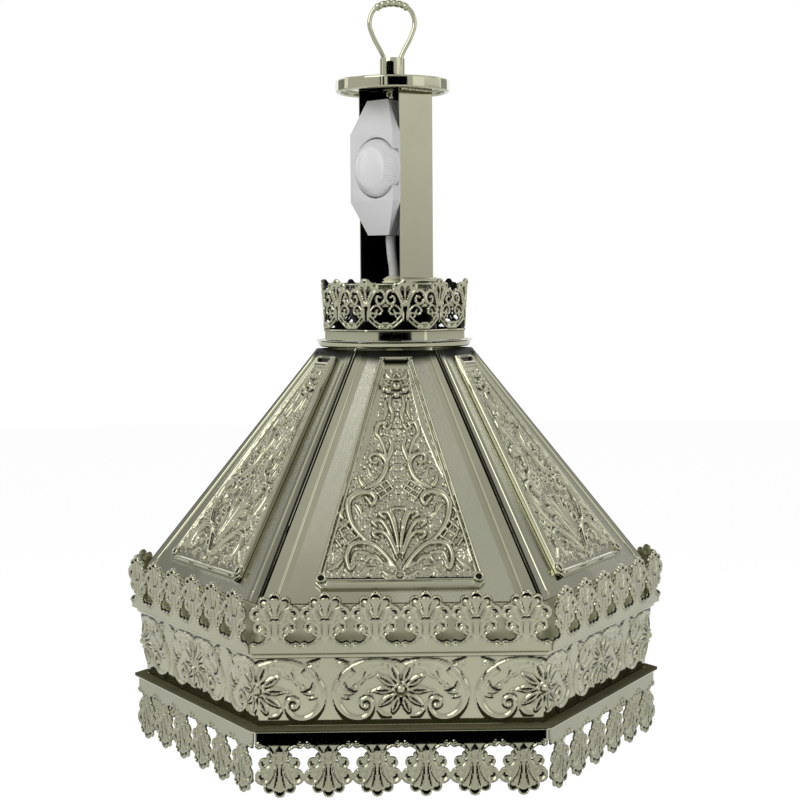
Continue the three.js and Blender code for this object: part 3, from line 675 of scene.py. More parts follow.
hexagon_ring("lower_flange_ring", box_profile(FLANGE_INNER, FLANGE_SIDE, -LOWER_THICK, 0), NICKEL_PLATE,
             radius=0.7, replaces=["lower_flange"])
hexagon_ring("lower_flange_ledge", [(160.9, 0), (169.05, 0), (169.05, -1.3), (169.15, -1.3), (169.15, FILM),
                                    (160.9, FILM)], FLANGE_TOP, radius=0.02)
hexagon_ring("upper_flange_ring", box_profile(FLANGE_INNER, FLANGE_SIDE, UPPER_LOW, UPPER_HIGH), NICKEL_PLATE,
             replaces=["upper_flange"])
hexagon_ring("upper_flange_ledge", box_profile(160.4, 168.7, UPPER_HIGH, UPPER_HIGH + FILM), DULL_SKIRT_PAINTED_LIGHT,
             radius=0.02)
hexagon_ring("roof_skirt_ring", box_profile(SKIRT_SIDE - SHEET / ACROSS, SKIRT_SIDE, SKIRT_LOW, SKIRT_HIGH),
             DULL_SKIRT_PAINTED_LIGHT, replaces=["roof_skirt"])
print("rings:", sorted(triangles))

# %% [markdown]
# Everything from the roof's top to the loop is round except the column, and would be spun on a
# lathe. The cap's plate has a rim that catches the light, and under it a row of fine beads, as a
# jeweller's wheel leaves them. The beads are a ripple in the radius: a half wave of the angle, fading
# out above and below the moulding. Under the cap, and under the flange, the metal is painted black,
# as the shade that falls there.

# %% Crown flange and cap
FLANGE_LOW = 209.6
CAP_TOP = 249.3
CAP_BEADS = 72
BEADS_AT, BEAD_HALF, BEAD_RISE = 245.6, 1.5, 0.7
CAP_OUTSIDE = 27
# Below this height the cap is painted black, as shade.
CAP_BLACK_BELOW = 243.8


def bead_row(a, r, h):
    """rise |cos(n a / 2)|^0.6 on the moulding, down to nothing half the moulding's width away."""
    fade = np.clip(1 - ((h - BEADS_AT) / BEAD_HALF) ** 2, 0, 1) * (r > CAP_OUTSIDE)
    return BEAD_RISE * np.abs(np.cos(CAP_BEADS * a / 2)) ** 0.6 * fade


# The flange's underside is painted black, as the shade beneath it.
spin("crown_flange_turned", [
    (24, FLANGE_LOW), (45.4, FLANGE_LOW), (47.4, 209.9), (48.3, 210.8), (48.6, 212.3), (49.2, 213.2),
    (50.1, 213.7), (50.0, 214.1), (49.0, 213.9), (46.9, 213.0), (46.0, 213.6), (24, 213.6)],
     NICKEL_PLATE, segments=160, radius=0.5, painted_shade=lambda r, h: 0.93 * (h < FLANGE_LOW + 0.2),
     replaces=["crown_flange"])
spin("crown_cap_turned", [
    (33, 214.2), (33, 215.4), (27.7, 216.6), (26.5, 226), (27.2, 228.4), (28.6, 231), (27.2, 233.6),
    (26.5, 236), (26.5, 243.4), (27.7, 244.0), (28.2, 245.6), (28.2, 247.2), (30.5, 247.7), (33.4, 247.9),
    (34, 248.4), (33.8, CAP_TOP), (5.3, CAP_TOP), (5.3, 247.9), (26.5, 246.7), (25.3, 236), (27.4, 231),
    (25.3, 226), (26.5, 214.2)],
     NICKEL_PLATE, segments=CAP_BEADS * 6, radius=0.5, ripple=bead_row,
     painted_shade=lambda r, h: 1.0 * (h < CAP_BLACK_BELOW), replaces=["crown_cap"])
print("cap:", triangles["crown_cap_turned"], "triangles")

# %% [markdown]
# The disc on the column's head is a shallow dish whose rim is turned down and rolled. The socket on
# it holds the loop's wire, and its stud comes out below with a washer. The gland and the lamp tube
# lead the cord through the cap. All are the same spin, so a profile is the whole description.

# %% Disc, socket, washer, gland and tube
spin("top_disc_turned", [
    (2.8, 372), (32.6, 372), (32.9, 369.9), (33.8, 369.3), (35.2, 369.4), (35.9, 370.2), (36, 371.4),
    (36, 376.2), (35.7, 376.9), (35.1, 377.2), (8.6, 377.2), (8.6, 376.7), (2.8, 376.7)],
     NICKEL_PLATE, segments=160, radius=0.45, replaces=["top_disc"])
spin("loop_socket_turned", [
    (0, 365.8), (2.5, 365.8), (2.5, 377), (8, 377), (8, 378.2), (7.7, 378.6), (7.7, 379.2), (8, 379.6),
    (8, 391), (7.1, 391), (7.1, 380.2), (0, 380.2)],
     NICKEL_PLATE, segments=96, radius=0.25, replaces=["loop_socket"])
# The washer is painted darker, as the shade under the disc.
spin("stud_washer_turned", box_profile(2.8, 6.5, 370.4, 371.7), NICKEL_PLATE, segments=64, radius=0.3,
     painted_shade=lambda r, h: 0.6 + 0 * r, replaces=["stud_washer"])
# The gland wears the skirt's paler metal, a painted light where it would lie dark.
spin("cable_gland_turned", [
    (3.4, 249.6), (7.4, 249.6), (7.4, 250.8), (6.2, 251.1), (6.2, 251.5), (7, 251.9), (6.9, 252.3),
    (6.1, 252.6), (5, 253.5), (4.2, 254.1), (3.4, 254.1)],
     DULL_SKIRT_PAINTED_LIGHT, segments=64, radius=0.25, replaces=["cable_gland"])
spin("lamp_tube_turned", box_profile(3.7, 5, 199.6, CAP_TOP), NICKEL_PLATE, segments=48, radius=0.2,
     replaces=["lamp_tube"])
print("turned parts:", sum("turned" in name for name in triangles))

# %% [markdown]
# A nut is a hexagonal prism whose corners a lathe has cut back to a cone. Seen as a grid it is a spun
# profile too, with a radius that follows the hexagon: corner x cos 30 / cos(angle from the flat's
# middle), and never more than the cone allows.

# %% Nuts
NUT_CONE = [(0, 0.86), (0, 0.9), (0.12, 1.01), (0.88, 1.01), (1, 0.9), (1, 0.86)]


def nut(name, corner, bore, low, high, **rest):
    """Outside radius min(corner cos 30 / cos(a), corner x cone), and then the bore's radius back down.
    The cone's pairs are a share of the nut's height and a share of its corner radius."""
    share, cone = np.transpose(NUT_CONE)
    a = np.linspace(0, FULL_TURN, 96, endpoint=False)[:, None]
    from_middle = (a + math.pi / 6) % (math.pi / 3) - math.pi / 6
    outside = np.minimum(corner * ACROSS / np.cos(from_middle), corner * cone)
    r = np.concatenate([outside, np.full((len(a), 2), bore)], 1)
    h = low + (high - low) * np.concatenate([share, (1, 0)])
    points = side_by_side(r * np.cos(a), r * np.sin(a), h)
    new_piece(name, points, [grid_faces(numbered(r.shape), True, True)], NICKEL_PLATE, sharp=20, **rest)


nut("stud_nut_cut", corner=4.7, bore=2.8, low=366.8, high=370.1, replaces=["stud_nut"])
nut("tube_nut_cut", corner=8.6, bore=5.3, low=244.4, high=247.6, replaces=["tube_nut"])
print("nuts:", [name for name in triangles if "nut" in name])

# %% [markdown]
# The loop is one 3 mm wire: down into the socket on both sides, swelling to an upturned drop, and
# wrapped along its crest. The wrapping reads as a rope of a few oblique turns, so it is the same
# sweep with a radius that runs in half-round ridges: the ridge's phase moves with the way along the
# crest and with the angle round the wire, which makes each one a helix.

# %% Hanging loop
WIRE_RADIUS = 1.5
LOOP_TOP = 425.6
LOOP = [(5.2, 380.8), (5.2, 386), (5.3, 391), (7.4, 396), (11.6, 404), (14.2, 412.5), (12.4, 420), (7, 424.4)]
CREST = [(10.2, 421.9), (7, 424.4)]
TURN = 3.6
WRAP_CORE, WRAP_LOW, WRAP_RISE, WRAP_TAPER = 1.2, 0.55, 0.65, 0.8


def arch(half):
    """The half's points on the left, the crest, and the half's points mirrored on the right."""
    left = [(-x, 0, z) for x, z in half]
    return smooth([*left, (0, 0, LOOP_TOP), *((-x, 0, z) for x, _, z in left[::-1])], 12)


def wrapped(path):
    """Radius core + (low + rise sqrt(1 - (2f-1)^2)) sqrt(taper), f the fraction of a turn; the taper
    runs from 0 at both ends to 1."""
    gone = way_along(path)[:, None]
    a = np.linspace(0, FULL_TURN, 32, endpoint=False)[None]
    fraction = (gone / TURN + a / FULL_TURN) % 1
    taper = np.clip(np.minimum(gone, gone[-1] - gone) / WRAP_TAPER, 0, 1)
    radius = WRAP_CORE + (WRAP_LOW + WRAP_RISE * half_round(2 * fraction - 1)) * np.sqrt(taper)
    return side_by_side(radius * np.cos(a), radius * np.sin(a))


sweep("loop_wire", arch(LOOP), (0, 1, 0), circle(WIRE_RADIUS, 24), NICKEL_PLATE, replaces=["hanging_loop"])
crest = arch(CREST)
sweep("loop_wrapping", crest, (0, 1, 0), wrapped(crest), NICKEL_PLATE, sharp=60)
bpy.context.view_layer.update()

# %% [markdown]
# The column is a sheet channel that stands turned on the cap, its open side to the left front. It is
# drawn in its own directions, x across the channel and -y out of its mouth, and turned by 47 degrees
# afterwards. A folded sheet is a thin section carried along the fold line, which gives the round
# outside corners that a press leaves. Its inside is painted black, as shade, for little light finds
# its way there.

# %% Column
COLUMN_TURN = math.radians(47)
COLUMN_LOW, COLUMN_HIGH = 249.6, 371.95
MOUTH, BACK, HALF_COLUMN, WALL = -12.0, 18.0, 18.5, 0.9
FOLD_RADIUS = 1.6


def turned(points, angle):
    """A turn about the upright axis: (x cos - y sin, x sin + y cos, z)."""
    x, y, z = np.transpose(points)
    c, s = math.cos(angle), math.sin(angle)
    return np.stack([x * c - y * s, x * s + y * c, z], -1)


def in_column(points):
    """The channel's own directions to the lantern's."""
    return turned(points, -COLUMN_TURN)


wall_x, wall_y = HALF_COLUMN - WALL / 2, BACK - WALL / 2
fold = [(-wall_x, MOUTH), (-wall_x, wall_y), (wall_x, wall_y), (wall_x, MOUTH)]
fold = rounded(fold, FOLD_RADIUS, False, 6)
heights = np.linspace(COLUMN_LOW, COLUMN_HIGH, 40)
edge = np.concatenate([side_by_side(WALL / 2, heights), side_by_side(-WALL / 2, heights[::-1])])
section = rounded(edge, 0.2)
# The channel's inner face is painted black, as shade.
inner_side = np.tile(section[:, 0] > 0, (len(fold), 1))
sweep("column_channel", np.column_stack([fold, 0 * fold[:, 0]]), (0, 0, 1), section, NICKEL_PLATE,
      place=in_column, replaces=["column"], values={"painted_shade": inner_side})
print("column:", triangles["column_channel"], "triangles")

# %% [markdown]
# The column is soldered: to the cap by a small rolled tab at its foot, and to the disc by a line of
# solder that runs down its side. Solder run by hand is never even, so the bead's radius wanders in
# three sine waves of unequal length, which never fall in step.

# %% Foot tab and solder
TAB = [(18.8, 249.6), (24.8, 249.6), (24.8, 251.2), (24.3, 252.0), (22.2, 252.0), (21.8, 252.4),
       (20.6, 252.6), (20.0, 253.2), (18.8, 253.2)]
TAB_PATH = [(0, -12.5, 0), (0, 3.0, 0), (0, 18.5, 0)]
SOLDER_RADIUS, SOLDER_AT, SOLDER_WAVES = 0.9, 370.4, (0.9, 2.3, 4.1)

sweep("column_foot_tab", TAB_PATH, (1, 0, 0), rounded(TAB, 0.35)[:, ::-1] * (-1, 1), NICKEL_PLATE,
      place=in_column, replaces=["column_foot"])
solder_line = side_by_side(HALF_COLUMN + 0.1, np.linspace(MOUTH + 1, BACK - 2, 90), SOLDER_AT)
gone = way_along(solder_line)[:, None, None]
wander = sum(np.sin(gone * k + k) for k in SOLDER_WAVES) / len(SOLDER_WAVES)
sweep("column_solder", solder_line, (0, 0, 1), circle(1, 12)[None] * SOLDER_RADIUS * (1 + 0.5 * wander),
      NICKEL_PLATE, place=in_column)
print("solder line:", round(float(gone[-1, 0, 0]), 1), "mm")

# %% [markdown]
# The dimmer is a bought part: two moulded shells whose ends taper, with a domed dial in a round well.
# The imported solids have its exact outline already, wells and all, so the lesson here is reuse: join
# the solid's loose triangles, merge the flat ones, and let a Bevel modifier give each edge the radius
# that a mould has.

# %% Dimmer shells and circuit board
BEVEL_ABOVE = math.radians(20)
FLAT_WITHIN = math.radians(1)
JOIN_WITHIN = 2e-6


def rounded_solid(node, material, radius):
    """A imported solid's copy with merged faces and bevelled edges, radius in millimetres."""
    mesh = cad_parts[node].data.copy()
    work = bmesh.new()
    work.from_mesh(mesh)
    bmesh.ops.remove_doubles(work, verts=work.verts, dist=JOIN_WITHIN)
    bmesh.ops.dissolve_limit(work, angle_limit=FLAT_WITHIN, verts=work.verts, edges=work.edges)
    work.to_mesh(mesh)
    work.free()
    mesh.materials.clear()
    mesh.materials.append(material)
    mesh.shade_smooth()
    obj = bpy.data.objects.new(node + "_moulded", mesh)
    scene.collection.objects.link(obj)
    bevel = obj.modifiers.new("mould_radius", "BEVEL")
    bevel.width, bevel.segments = radius * MM, 3
    bevel.limit_method, bevel.angle_limit = "ANGLE", BEVEL_ABOVE
    bevel.harden_normals = True
    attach(obj, "lantern")
    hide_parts(node)


rounded_solid("dimmer_cover", WHITE_SHELL, 0.9)
rounded_solid("dimmer_base", WHITE_SHELL, 0.9)
rounded_solid("dimmer_board", LAMINATE, 0.2)

# %% [markdown]
# The dial turns in the shell, so it rides the second body, and it must stay a clean turned part: one
# full dome. Its outer half is grooved for the thumb: 96 fine grooves that run out before the smooth
# top. A groove that only lowered the dome would vanish on its steep flank, so each is cut square to
# the surface.

# %% Dial
FACE = -19.0
DIAL_MIDDLE = (4.0, 321.5)
DIAL_SUNK = 0.6
DOME_RADIUS, DOME_RISE = 18.0, 8.2
GROOVES, GROOVE_DEPTH = 96, 0.5
SMOOTH_RADIUS, GROOVE_RUN = 10.5, 4.0


def in_dial(points):
    """Cuts grooves of depth (1 - cos(96 a)) / 2 square into the dome's outer half, deepest at its rim.
    Then up the dial's axis becomes out of the dimmer's face, and the rest is as for the column."""
    x, y, z = points.T
    fade = np.clip((np.hypot(x, y) - SMOOTH_RADIUS) / GROOVE_RUN, 0, 1) * (z > -1)
    depth = GROOVE_DEPTH / 2 * (1 - np.cos(GROOVES * np.arctan2(y, x))) * fade
    normal = np.stack([x, y, z * (DOME_RADIUS / DOME_RISE) ** 2])
    x, y, z = points.T - depth * normal / np.maximum(np.linalg.norm(normal, axis=0), 1e-9)
    return in_column(np.stack([x + DIAL_MIDDLE[0], FACE + DIAL_SUNK - z, y + DIAL_MIDDLE[1]], -1))


dome = [(DOME_RADIUS * math.cos(t), DOME_RISE * math.sin(t)) for t in np.linspace(0.05, math.pi / 2, 22)]
spin("dial_knob",
     [(0, -9), (3, -9), (3, -4), (17.6, -4), (18.1, -3.5), (18.1, -0.4), *dome[:-1], (0, DOME_RISE)],
     DIAL_SHELL, segments=GROOVES * 4, radius=0.5, place=in_dial, body="dial", slot="dial_plastic", sharp=60,
     replaces=["dimmer_dial"])
print("dial:", triangles["dial_knob"], "triangles")

# %% [markdown]
# Below the dimmer the lamp's cord drops through a flared gland into the cap. The rest hangs inside,
# where only a look from below finds it: the tube, the porcelain holder and an opal bulb.

# %% Cord, lampholder, bulb
CORD_RADIUS = 3.1
CORD_PATH = [(0, -2.6, 279.5), (0, -2.47, 274), (0, -1.3, 265), (0, 0, 256), (0, 0, 230), (0, 0, 201)]
GLOBE_RADIUS, GLOBE_MIDDLE = 30, 108

sweep("lamp_cord", smooth(CORD_PATH, 10), (1, 0, 0), circle(CORD_RADIUS, 32), SHEATH, place=in_column,
      slot="cord_sheath", replaces=["dimmer_cord"])
spin("lampholder_glazed", [
    (5.3, 203), (5.3, 200), (18, 188), (18, 150), (20, 150), (20.2, 152), (19.6, 153), (19.6, 160), (20, 161),
    (20, 190), (18.5, 194), (14.5, 198.5), (13, 203)],
     GLAZE, segments=96, radius=1.0, slot="porcelain", replaces=["lampholder"])
globe = [(GLOBE_RADIUS * math.sin(t), GLOBE_MIDDLE - GLOBE_RADIUS * math.cos(t))
         for t in np.linspace(0.05, math.radians(129.6), 30)]
spin("bulb_blown", [
    (0, GLOBE_MIDDLE - GLOBE_RADIUS), *globe, (16, 146), (14.2, 152), (13.2, 154), (13.2, 175), (5, 181),
    (0, 181)],
     OPAL, segments=96, radius=0.8, slot="bulb_glass", replaces=["bulb"])
print("cord:", round(float(way_along(np.array(CORD_PATH))[-1]), 1), "mm")

# %% [markdown]
# The roof's slope is where the flat work lies: x runs along the side, v up the slope from its foot
# and n out of it. Everything on the slope is drawn in these directions on the front side, and one
# function stands it up and turns it to any of the six.

# %% The roof's slope
ROOF_SIDE, ROOF_TOP_SIDE, ROOF_FOOT, ROOF_HEAD = 161.0, 50.0, 70.0, 208.4
SLOPE = math.atan((ROOF_SIDE - ROOF_TOP_SIDE) * ACROSS / (ROOF_HEAD - ROOF_FOOT))
SLOPE_LENGTH = (ROOF_HEAD - ROOF_FOOT) / math.cos(SLOPE)


def to_side(points, side):
    """Turns front-side points to side 1 to 6, anticlockwise from above, 60 degrees each."""
    return turned(points, (side - 1) * math.pi / 3)


def on_slope(x, v, n, side):
    """(x, v, n) on the slope: x along, v (0, sin, cos) up, n (0, -cos, sin) out, from the roof's foot."""
    y = -ROOF_SIDE * ACROSS + v * math.sin(SLOPE) - n * math.cos(SLOPE)
    z = ROOF_FOOT + v * math.cos(SLOPE) + n * math.sin(SLOPE)
    return to_side(side_by_side(x, y, z).reshape(-1, 3), side)


def slope_half(v):
    """Half the roof's side at v up the slope: an even taper from foot to head."""
    return ROOF_SIDE / 2 - v / SLOPE_LENGTH * (ROOF_SIDE - ROOF_TOP_SIDE) / 2


def wave(low, high, value):
    """An even start and stop from 0 at low to 1 at high: 3t^2 - 2t^3."""
    t = np.clip((value - low) / (high - low), 0, 1)
    return t * t * (3 - 2 * t)


print("slope:", round(math.degrees(SLOPE), 1), "degrees from upright,", round(SLOPE_LENGTH, 1), "mm long")

# %% [markdown]
# Each roof panel is a sheet whose hip side has a plain strip, a narrow bright rib, and then a strip
# blasted to a matt grain, which is also painted paler as a sheen. A grid with even columns would blur
# those edges, so the columns stand just where the edges are, at fixed distances in from the hip. The
# head lies in the shade of the crown's flange, and black is painted there as that shade; the lines
# along each hip are painted black too, as the shade in the gap between panels.

# %% Roof panels
# Each line of the sheet's outer face: its distance in from the hip at the foot and at the head, and
# its height.
STRIP = [((0.8, 0.8), -0.25), ((1.0, 1.0), 0.0), ((1.9, 1.9), 0.0), ((2.0, 2.0), 0.0), ((9.0, 4.4), 0.0),
         ((9.2, 4.6), 0.45), ((9.6, 5.0), 0.75), ((10.1, 5.5), 0.75), ((10.5, 5.9), 0.45), ((10.7, 6.1), 0.0),
         ((13.4, 8.8), 0.0), ((14.4, 9.8), 0.0)]
BLACK_LINES = 3
MIDDLE_LINES = 13
RIB_INSET, RIB_RUN = 2, 1.5
SHADE, SHADE_BLACK = 14.0, 0.97
# The blasted strips' matt grain and painted sheen: stronger on the left, where the light comes from.
FROST_SHEEN_LEFT, FROST_SHEEN_RIGHT = 1.1, 0.32


def roof_panel(side):
    """A closed sheet: x from one hip to the other, v from foot to head. The left strip's blasted grain
    and painted sheen grow with v, the right one's are even, and the painted shade is deepest in the
    middle of the head."""
    up = np.concatenate([np.linspace(0, SLOPE_LENGTH - SHADE - 2, 48),
                         np.linspace(SLOPE_LENGTH - SHADE, SLOPE_LENGTH, 12)])[:, None]
    share = up / SLOPE_LENGTH
    distance = np.concatenate([foot + (head - foot) * share for (foot, head), _ in STRIP], 1)
    left = -(slope_half(up) - distance)
    middle = left[:, -1:] * np.linspace(1, -1, MIDDLE_LINES + 2)[1:-1]
    across = np.concatenate([left, middle, -left[:, ::-1]], 1)
    height = np.array([n for _, n in STRIP])
    height = np.concatenate([height, np.zeros(MIDDLE_LINES), height[::-1]])
    ribbed = np.clip(np.minimum(up - RIB_INSET, SLOPE_LENGTH - RIB_INSET - up) / RIB_RUN, 0, 1)
    front = on_slope(across, up, np.where(height > 0, height * ribbed, height), side)
    back = on_slope(across, up, -SHEET, side)
    index = numbered(across.shape)
    ring = np.concatenate([index, index[:, ::-1] + across.size], 1)
    ends = [grid_faces(np.stack([index[row], index[row] + across.size])) for row in (0, -1)]
    inside = slice(len(STRIP) - 1, 1 - len(STRIP))
    frost_and_sheen = np.zeros(across.shape)
    frost_and_sheen[:, inside] = np.where(across < 0, FROST_SHEEN_LEFT * share, FROST_SHEEN_RIGHT)[:, inside]
    # Painted shade under the crown's flange, reaching furthest down in the middle of the head.
    reach = SHADE * (1 - 0.5 * (across / slope_half(up)) ** 2)
    black = SHADE_BLACK * wave(0, 0.65, 1 - (SLOPE_LENGTH - up) / reach)
    # The lines nearest each hip are painted black, as the shade in the gap between panels.
    black[:, :BLACK_LINES] = black[:, -BLACK_LINES:] = 1
    inner = np.zeros(across.size)
    new_piece(f"roof_sheet_{side}", np.concatenate([front, back]),
              [grid_faces(ring, wrap_columns=True), ends[0], ends[1][:, ::-1]], NICKEL_PLATE, sharp=25,
              values={"frost_and_sheen": np.append(frost_and_sheen, inner), "painted_shade": np.append(black, inner)},
              replaces=[f"roof_panel_{side}"])


for side in SIDE_NUMBERS:
    roof_panel(side)
print("roof panel:", triangles["roof_sheet_1"], "triangles")

# %% [markdown]
# The lantern's ornament is relief: thin sheet driven into a die. Drawing each scroll as its own solid
# would give thousands of parts that meet badly. A die is a height field, so that is what is drawn: a
# grid of heights, onto which strokes raise half-round ridges, domes rise and pits sink. The symmetry
# of the pattern is used as its engraver used it: only half of a motif is ever drawn.

# %% A die
class Die:
    """Heights h over points (x, y), in millimetres, and how much black is painted there as shade, from 0 to
    1.
    """

    def __init__(self, x, y):
        self.x, self.y = x, y
        self.h, self.black = np.zeros(x.shape), np.zeros(x.shape)

    def near(self, points, width):
        """The grid's points near a smooth line: their flat indices, and their distance from it as a share
        of its half width. Several widths make a taper from the line's start to its end."""
        line = smooth(points, 14) if len(points) > 1 else np.asarray(points, float)
        low, high = line.min(0) - np.max(width), line.max(0) + np.max(width)
        within = (self.x > low[0]) & (self.x < high[0]) & (self.y > low[1]) & (self.y < high[1])
        found = np.flatnonzero(within)
        gap = np.hypot(self.x.ravel()[found, None] - line[:, 0], self.y.ravel()[found, None] - line[:, 1])
        best = gap.argmin(1)
        half = np.interp(best / max(len(line) - 1, 1), np.linspace(0, 1, np.size(width)), np.ravel(width))
        return found, gap[np.arange(len(found)), best] / half

    def ridge(self, points, width, height, over=False, flat=2.0):
        """Raises height (1 - offset^flat)^(1/2) along the line. over adds to what is there; otherwise the
        higher of the two stays."""
        found, offset = self.near(points, width)
        rise = height * np.sqrt(np.clip(1 - offset ** flat, 0, 1))
        h = self.h.reshape(-1)
        h[found] = h[found] + rise if over else np.maximum(h[found], rise)

    def dome(self, centre, radius, height):
        """A ridge along one point."""
        self.ridge([centre], radius, height)

    def pit(self, points, width, depth):
        """Sinks depth inside^2 along a line or at a point, inside being 1 - offset^2. Returns where."""
        found, offset = self.near(points, width)
        inside = np.clip(1 - offset ** 2, 0, 1)
        self.h.reshape(-1)[found] -= depth * inside ** 2
        return found, inside

    def cut(self, points, width, depth):
        """A pit whose floor is painted black, as the shade that falls into it."""
        found, inside = self.pit(points, width, depth)
        black = self.black.reshape(-1)
        black[found] = np.maximum(black[found], wave(0, 0.6, inside))


print("die of", Die(*np.meshgrid(np.arange(4.0), np.arange(3.0))).h.size, "points ready")

# %% [markdown]
# Between the strokes the ground is pebbled: small stones, one to a square, each moved about in its
# square by drawn numbers. And wherever the relief lies deep among its neighbours shade is painted:
# a blurred copy of the heights, minus the heights, says how dark each point is painted.

# %% Pebbles and painted shade
SCATTER = 97
STONE_SIZE, STONE_RISE, STONE_SEED = 1.7, 0.36, 3


def pebbled(x, y, size, seed):
    """Stones 1 - (d / r)^2, d from the nearest of the points that are scattered one to a square of the
    given size, r 0.72 of it. The scatter repeats after 97 squares."""
    drawn = np.random.default_rng(seed).uniform(0.12, 0.88, (2, SCATTER, SCATTER))
    column, row = np.floor(x / size).astype(int), np.floor(y / size).astype(int)
    nearest = np.full(x.shape, size * 2)
    for i in (-1, 0, 1):
        for j in (-1, 0, 1):
            aside, up = drawn[:, (column + i) % SCATTER, (row + j) % SCATTER]
            gap = np.hypot(x - (column + i + aside) * size, y - (row + j + up) * size)
            nearest = np.minimum(nearest, gap)
    return np.clip(1 - (nearest / (0.72 * size)) ** 2, 0, 1)


def blurred(h, times):
    """(4 h + its four neighbours) / 8, a few times over: a cheap blur."""
    for _ in range(times):
        p = np.pad(h, 1, mode="edge")
        h = (4 * h + p[:-2, 1:-1] + p[2:, 1:-1] + p[1:-1, :-2] + p[1:-1, 2:]) / 8
    return h


def recesses(h, depth=0.28):
    """1 where the surface lies the given depth or more below the mean of its neighbourhood, else less."""
    return np.clip((blurred(h, 10) - h) / depth, 0, 1) ** 1.5


def mirrored(half):
    """The half from x = 0 outward, and its mirror image on the other side."""
    return np.concatenate([half[:, :0:-1], half], 1)


def repeated(tile, times):
    """The tile a number of times side by side; the last column of one is the first of the next."""
    return np.concatenate([np.tile(tile[:, :-1], times), tile[:, -1:]], 1)


print("stones on a square centimetre:", round((10 / STONE_SIZE) ** 2))

# %% [markdown]
# The galleries and the crown are pierced, so a die isn't enough: their sheet has an outline with
# holes. An outline is kept as a signed distance, negative in the metal and 0 on its edge, because
# such distances join by taking the smaller one, and a disc, a polygon and a stroke are enough for
# all of this ornament.

# %% Outlines
def disc_field(x, y, discs):
    """Signed distance to a union of discs (cx, cy, r), negative inside."""
    return np.min([np.hypot(x - cx, y - cy) - r for cx, cy, r in discs], axis=0)


def polygon_field(x, y, corners):
    """Signed distance to a polygon: the nearest edge's distance, negative where a ray crosses an odd
    number of edges."""
    c = np.asarray(corners, float)
    d = np.full(x.shape, 1e9)
    inside = np.zeros(x.shape, bool)
    for (x0, y0), (x1, y1) in zip(c, np.roll(c, -1, 0)):
        ex, ey = x1 - x0, y1 - y0
        t = np.clip(((x - x0) * ex + (y - y0) * ey) / (ex * ex + ey * ey), 0, 1)
        d = np.minimum(d, np.hypot(x - x0 - t * ex, y - y0 - t * ey))
        if y0 != y1:
            inside ^= ((y0 > y) != (y1 > y)) & (x < x0 + (y - y0) * ex / ey)
    return np.where(inside, -d, d)


def stroke_field(x, y, points, width):
    """Signed distance to a stroke along a smooth line; its half width runs evenly through width's numbers."""
    line = smooth(points, 10)
    gap = np.hypot(x[..., None] - line[:, 0], y[..., None] - line[:, 1])
    half = np.interp(np.linspace(0, 1, len(line)), np.linspace(0, 1, np.size(width)), np.ravel(width))
    return (gap - half).min(-1)


print("a disc's middle lies", disc_field(0.0, 0.0, [(0, 0, 3)]), "mm from its edge")

# %% [markdown]
# To saw such a sheet out of a grid, the cells whose middle lies in the metal are kept, and the points
# on the edge are moved onto the outline, which turns the stairs of the grid into smooth curves. The
# back is the front's copy, pressed in less, and a wall stands round every edge.

# %% Pierced sheets
CAST_THICK, CAST_THINNEST = 1.0, 0.4
CAST_PRESS = 0.7
# Painted shade: in the casting's recesses, and evenly over its back.
CAST_RECESS_SHADE, CAST_BACK_SHADE = 0.45, 0.1
EDGE_DROP = 0.25
PULL, LEAST_SLOPE = 0.45, 0.5


def kept_cells(field):
    """Cells whose middle lies in the metal. Where two meet at a corner only, a third one joins them."""
    keep = (field[:-1, :-1] + field[1:, :-1] + field[:-1, 1:] + field[1:, 1:]) / 4 < 0
    for _ in range(2):
        a, b, c, d = keep[:-1, :-1], keep[:-1, 1:], keep[1:, :-1], keep[1:, 1:]
        b |= a & d & ~b & ~c
        a |= b & c & ~a & ~d
    return keep


def onto_outline(x, y, field, rim):
    """The rim's points moved by -field x gradient / |gradient|^2, which brings them to where field = 0.
    The strip's two ends stay where they are."""
    slope_y, slope_x = np.gradient(field, y[:, 0], x[0])
    steep = np.maximum(np.hypot(slope_x, slope_y), LEAST_SLOPE)
    pull = np.clip(field, -PULL, PULL) / steep ** 2 * rim
    moved = x - pull * slope_x
    moved[:, [0, -1]] = x[:, [0, -1]]
    return moved, y - pull * slope_y


def bare_edges(keep, around, index):
    """Edges between a kept cell and a hole, as pairs of point numbers, walked the way the cell's face is."""
    edges = []
    for beyond, first, second in ((around[:-2, 1:-1], index[:-1, :-1], index[:-1, 1:]),
                                  (around[2:, 1:-1], index[1:, 1:], index[1:, :-1]),
                                  (around[1:-1, :-2], index[1:, :-1], index[:-1, :-1]),
                                  (around[1:-1, 2:], index[:-1, 1:], index[1:, 1:])):
        bare = keep & ~beyond
        edges.append(np.stack([first[bare], second[bare]], -1))
    return np.concatenate(edges)


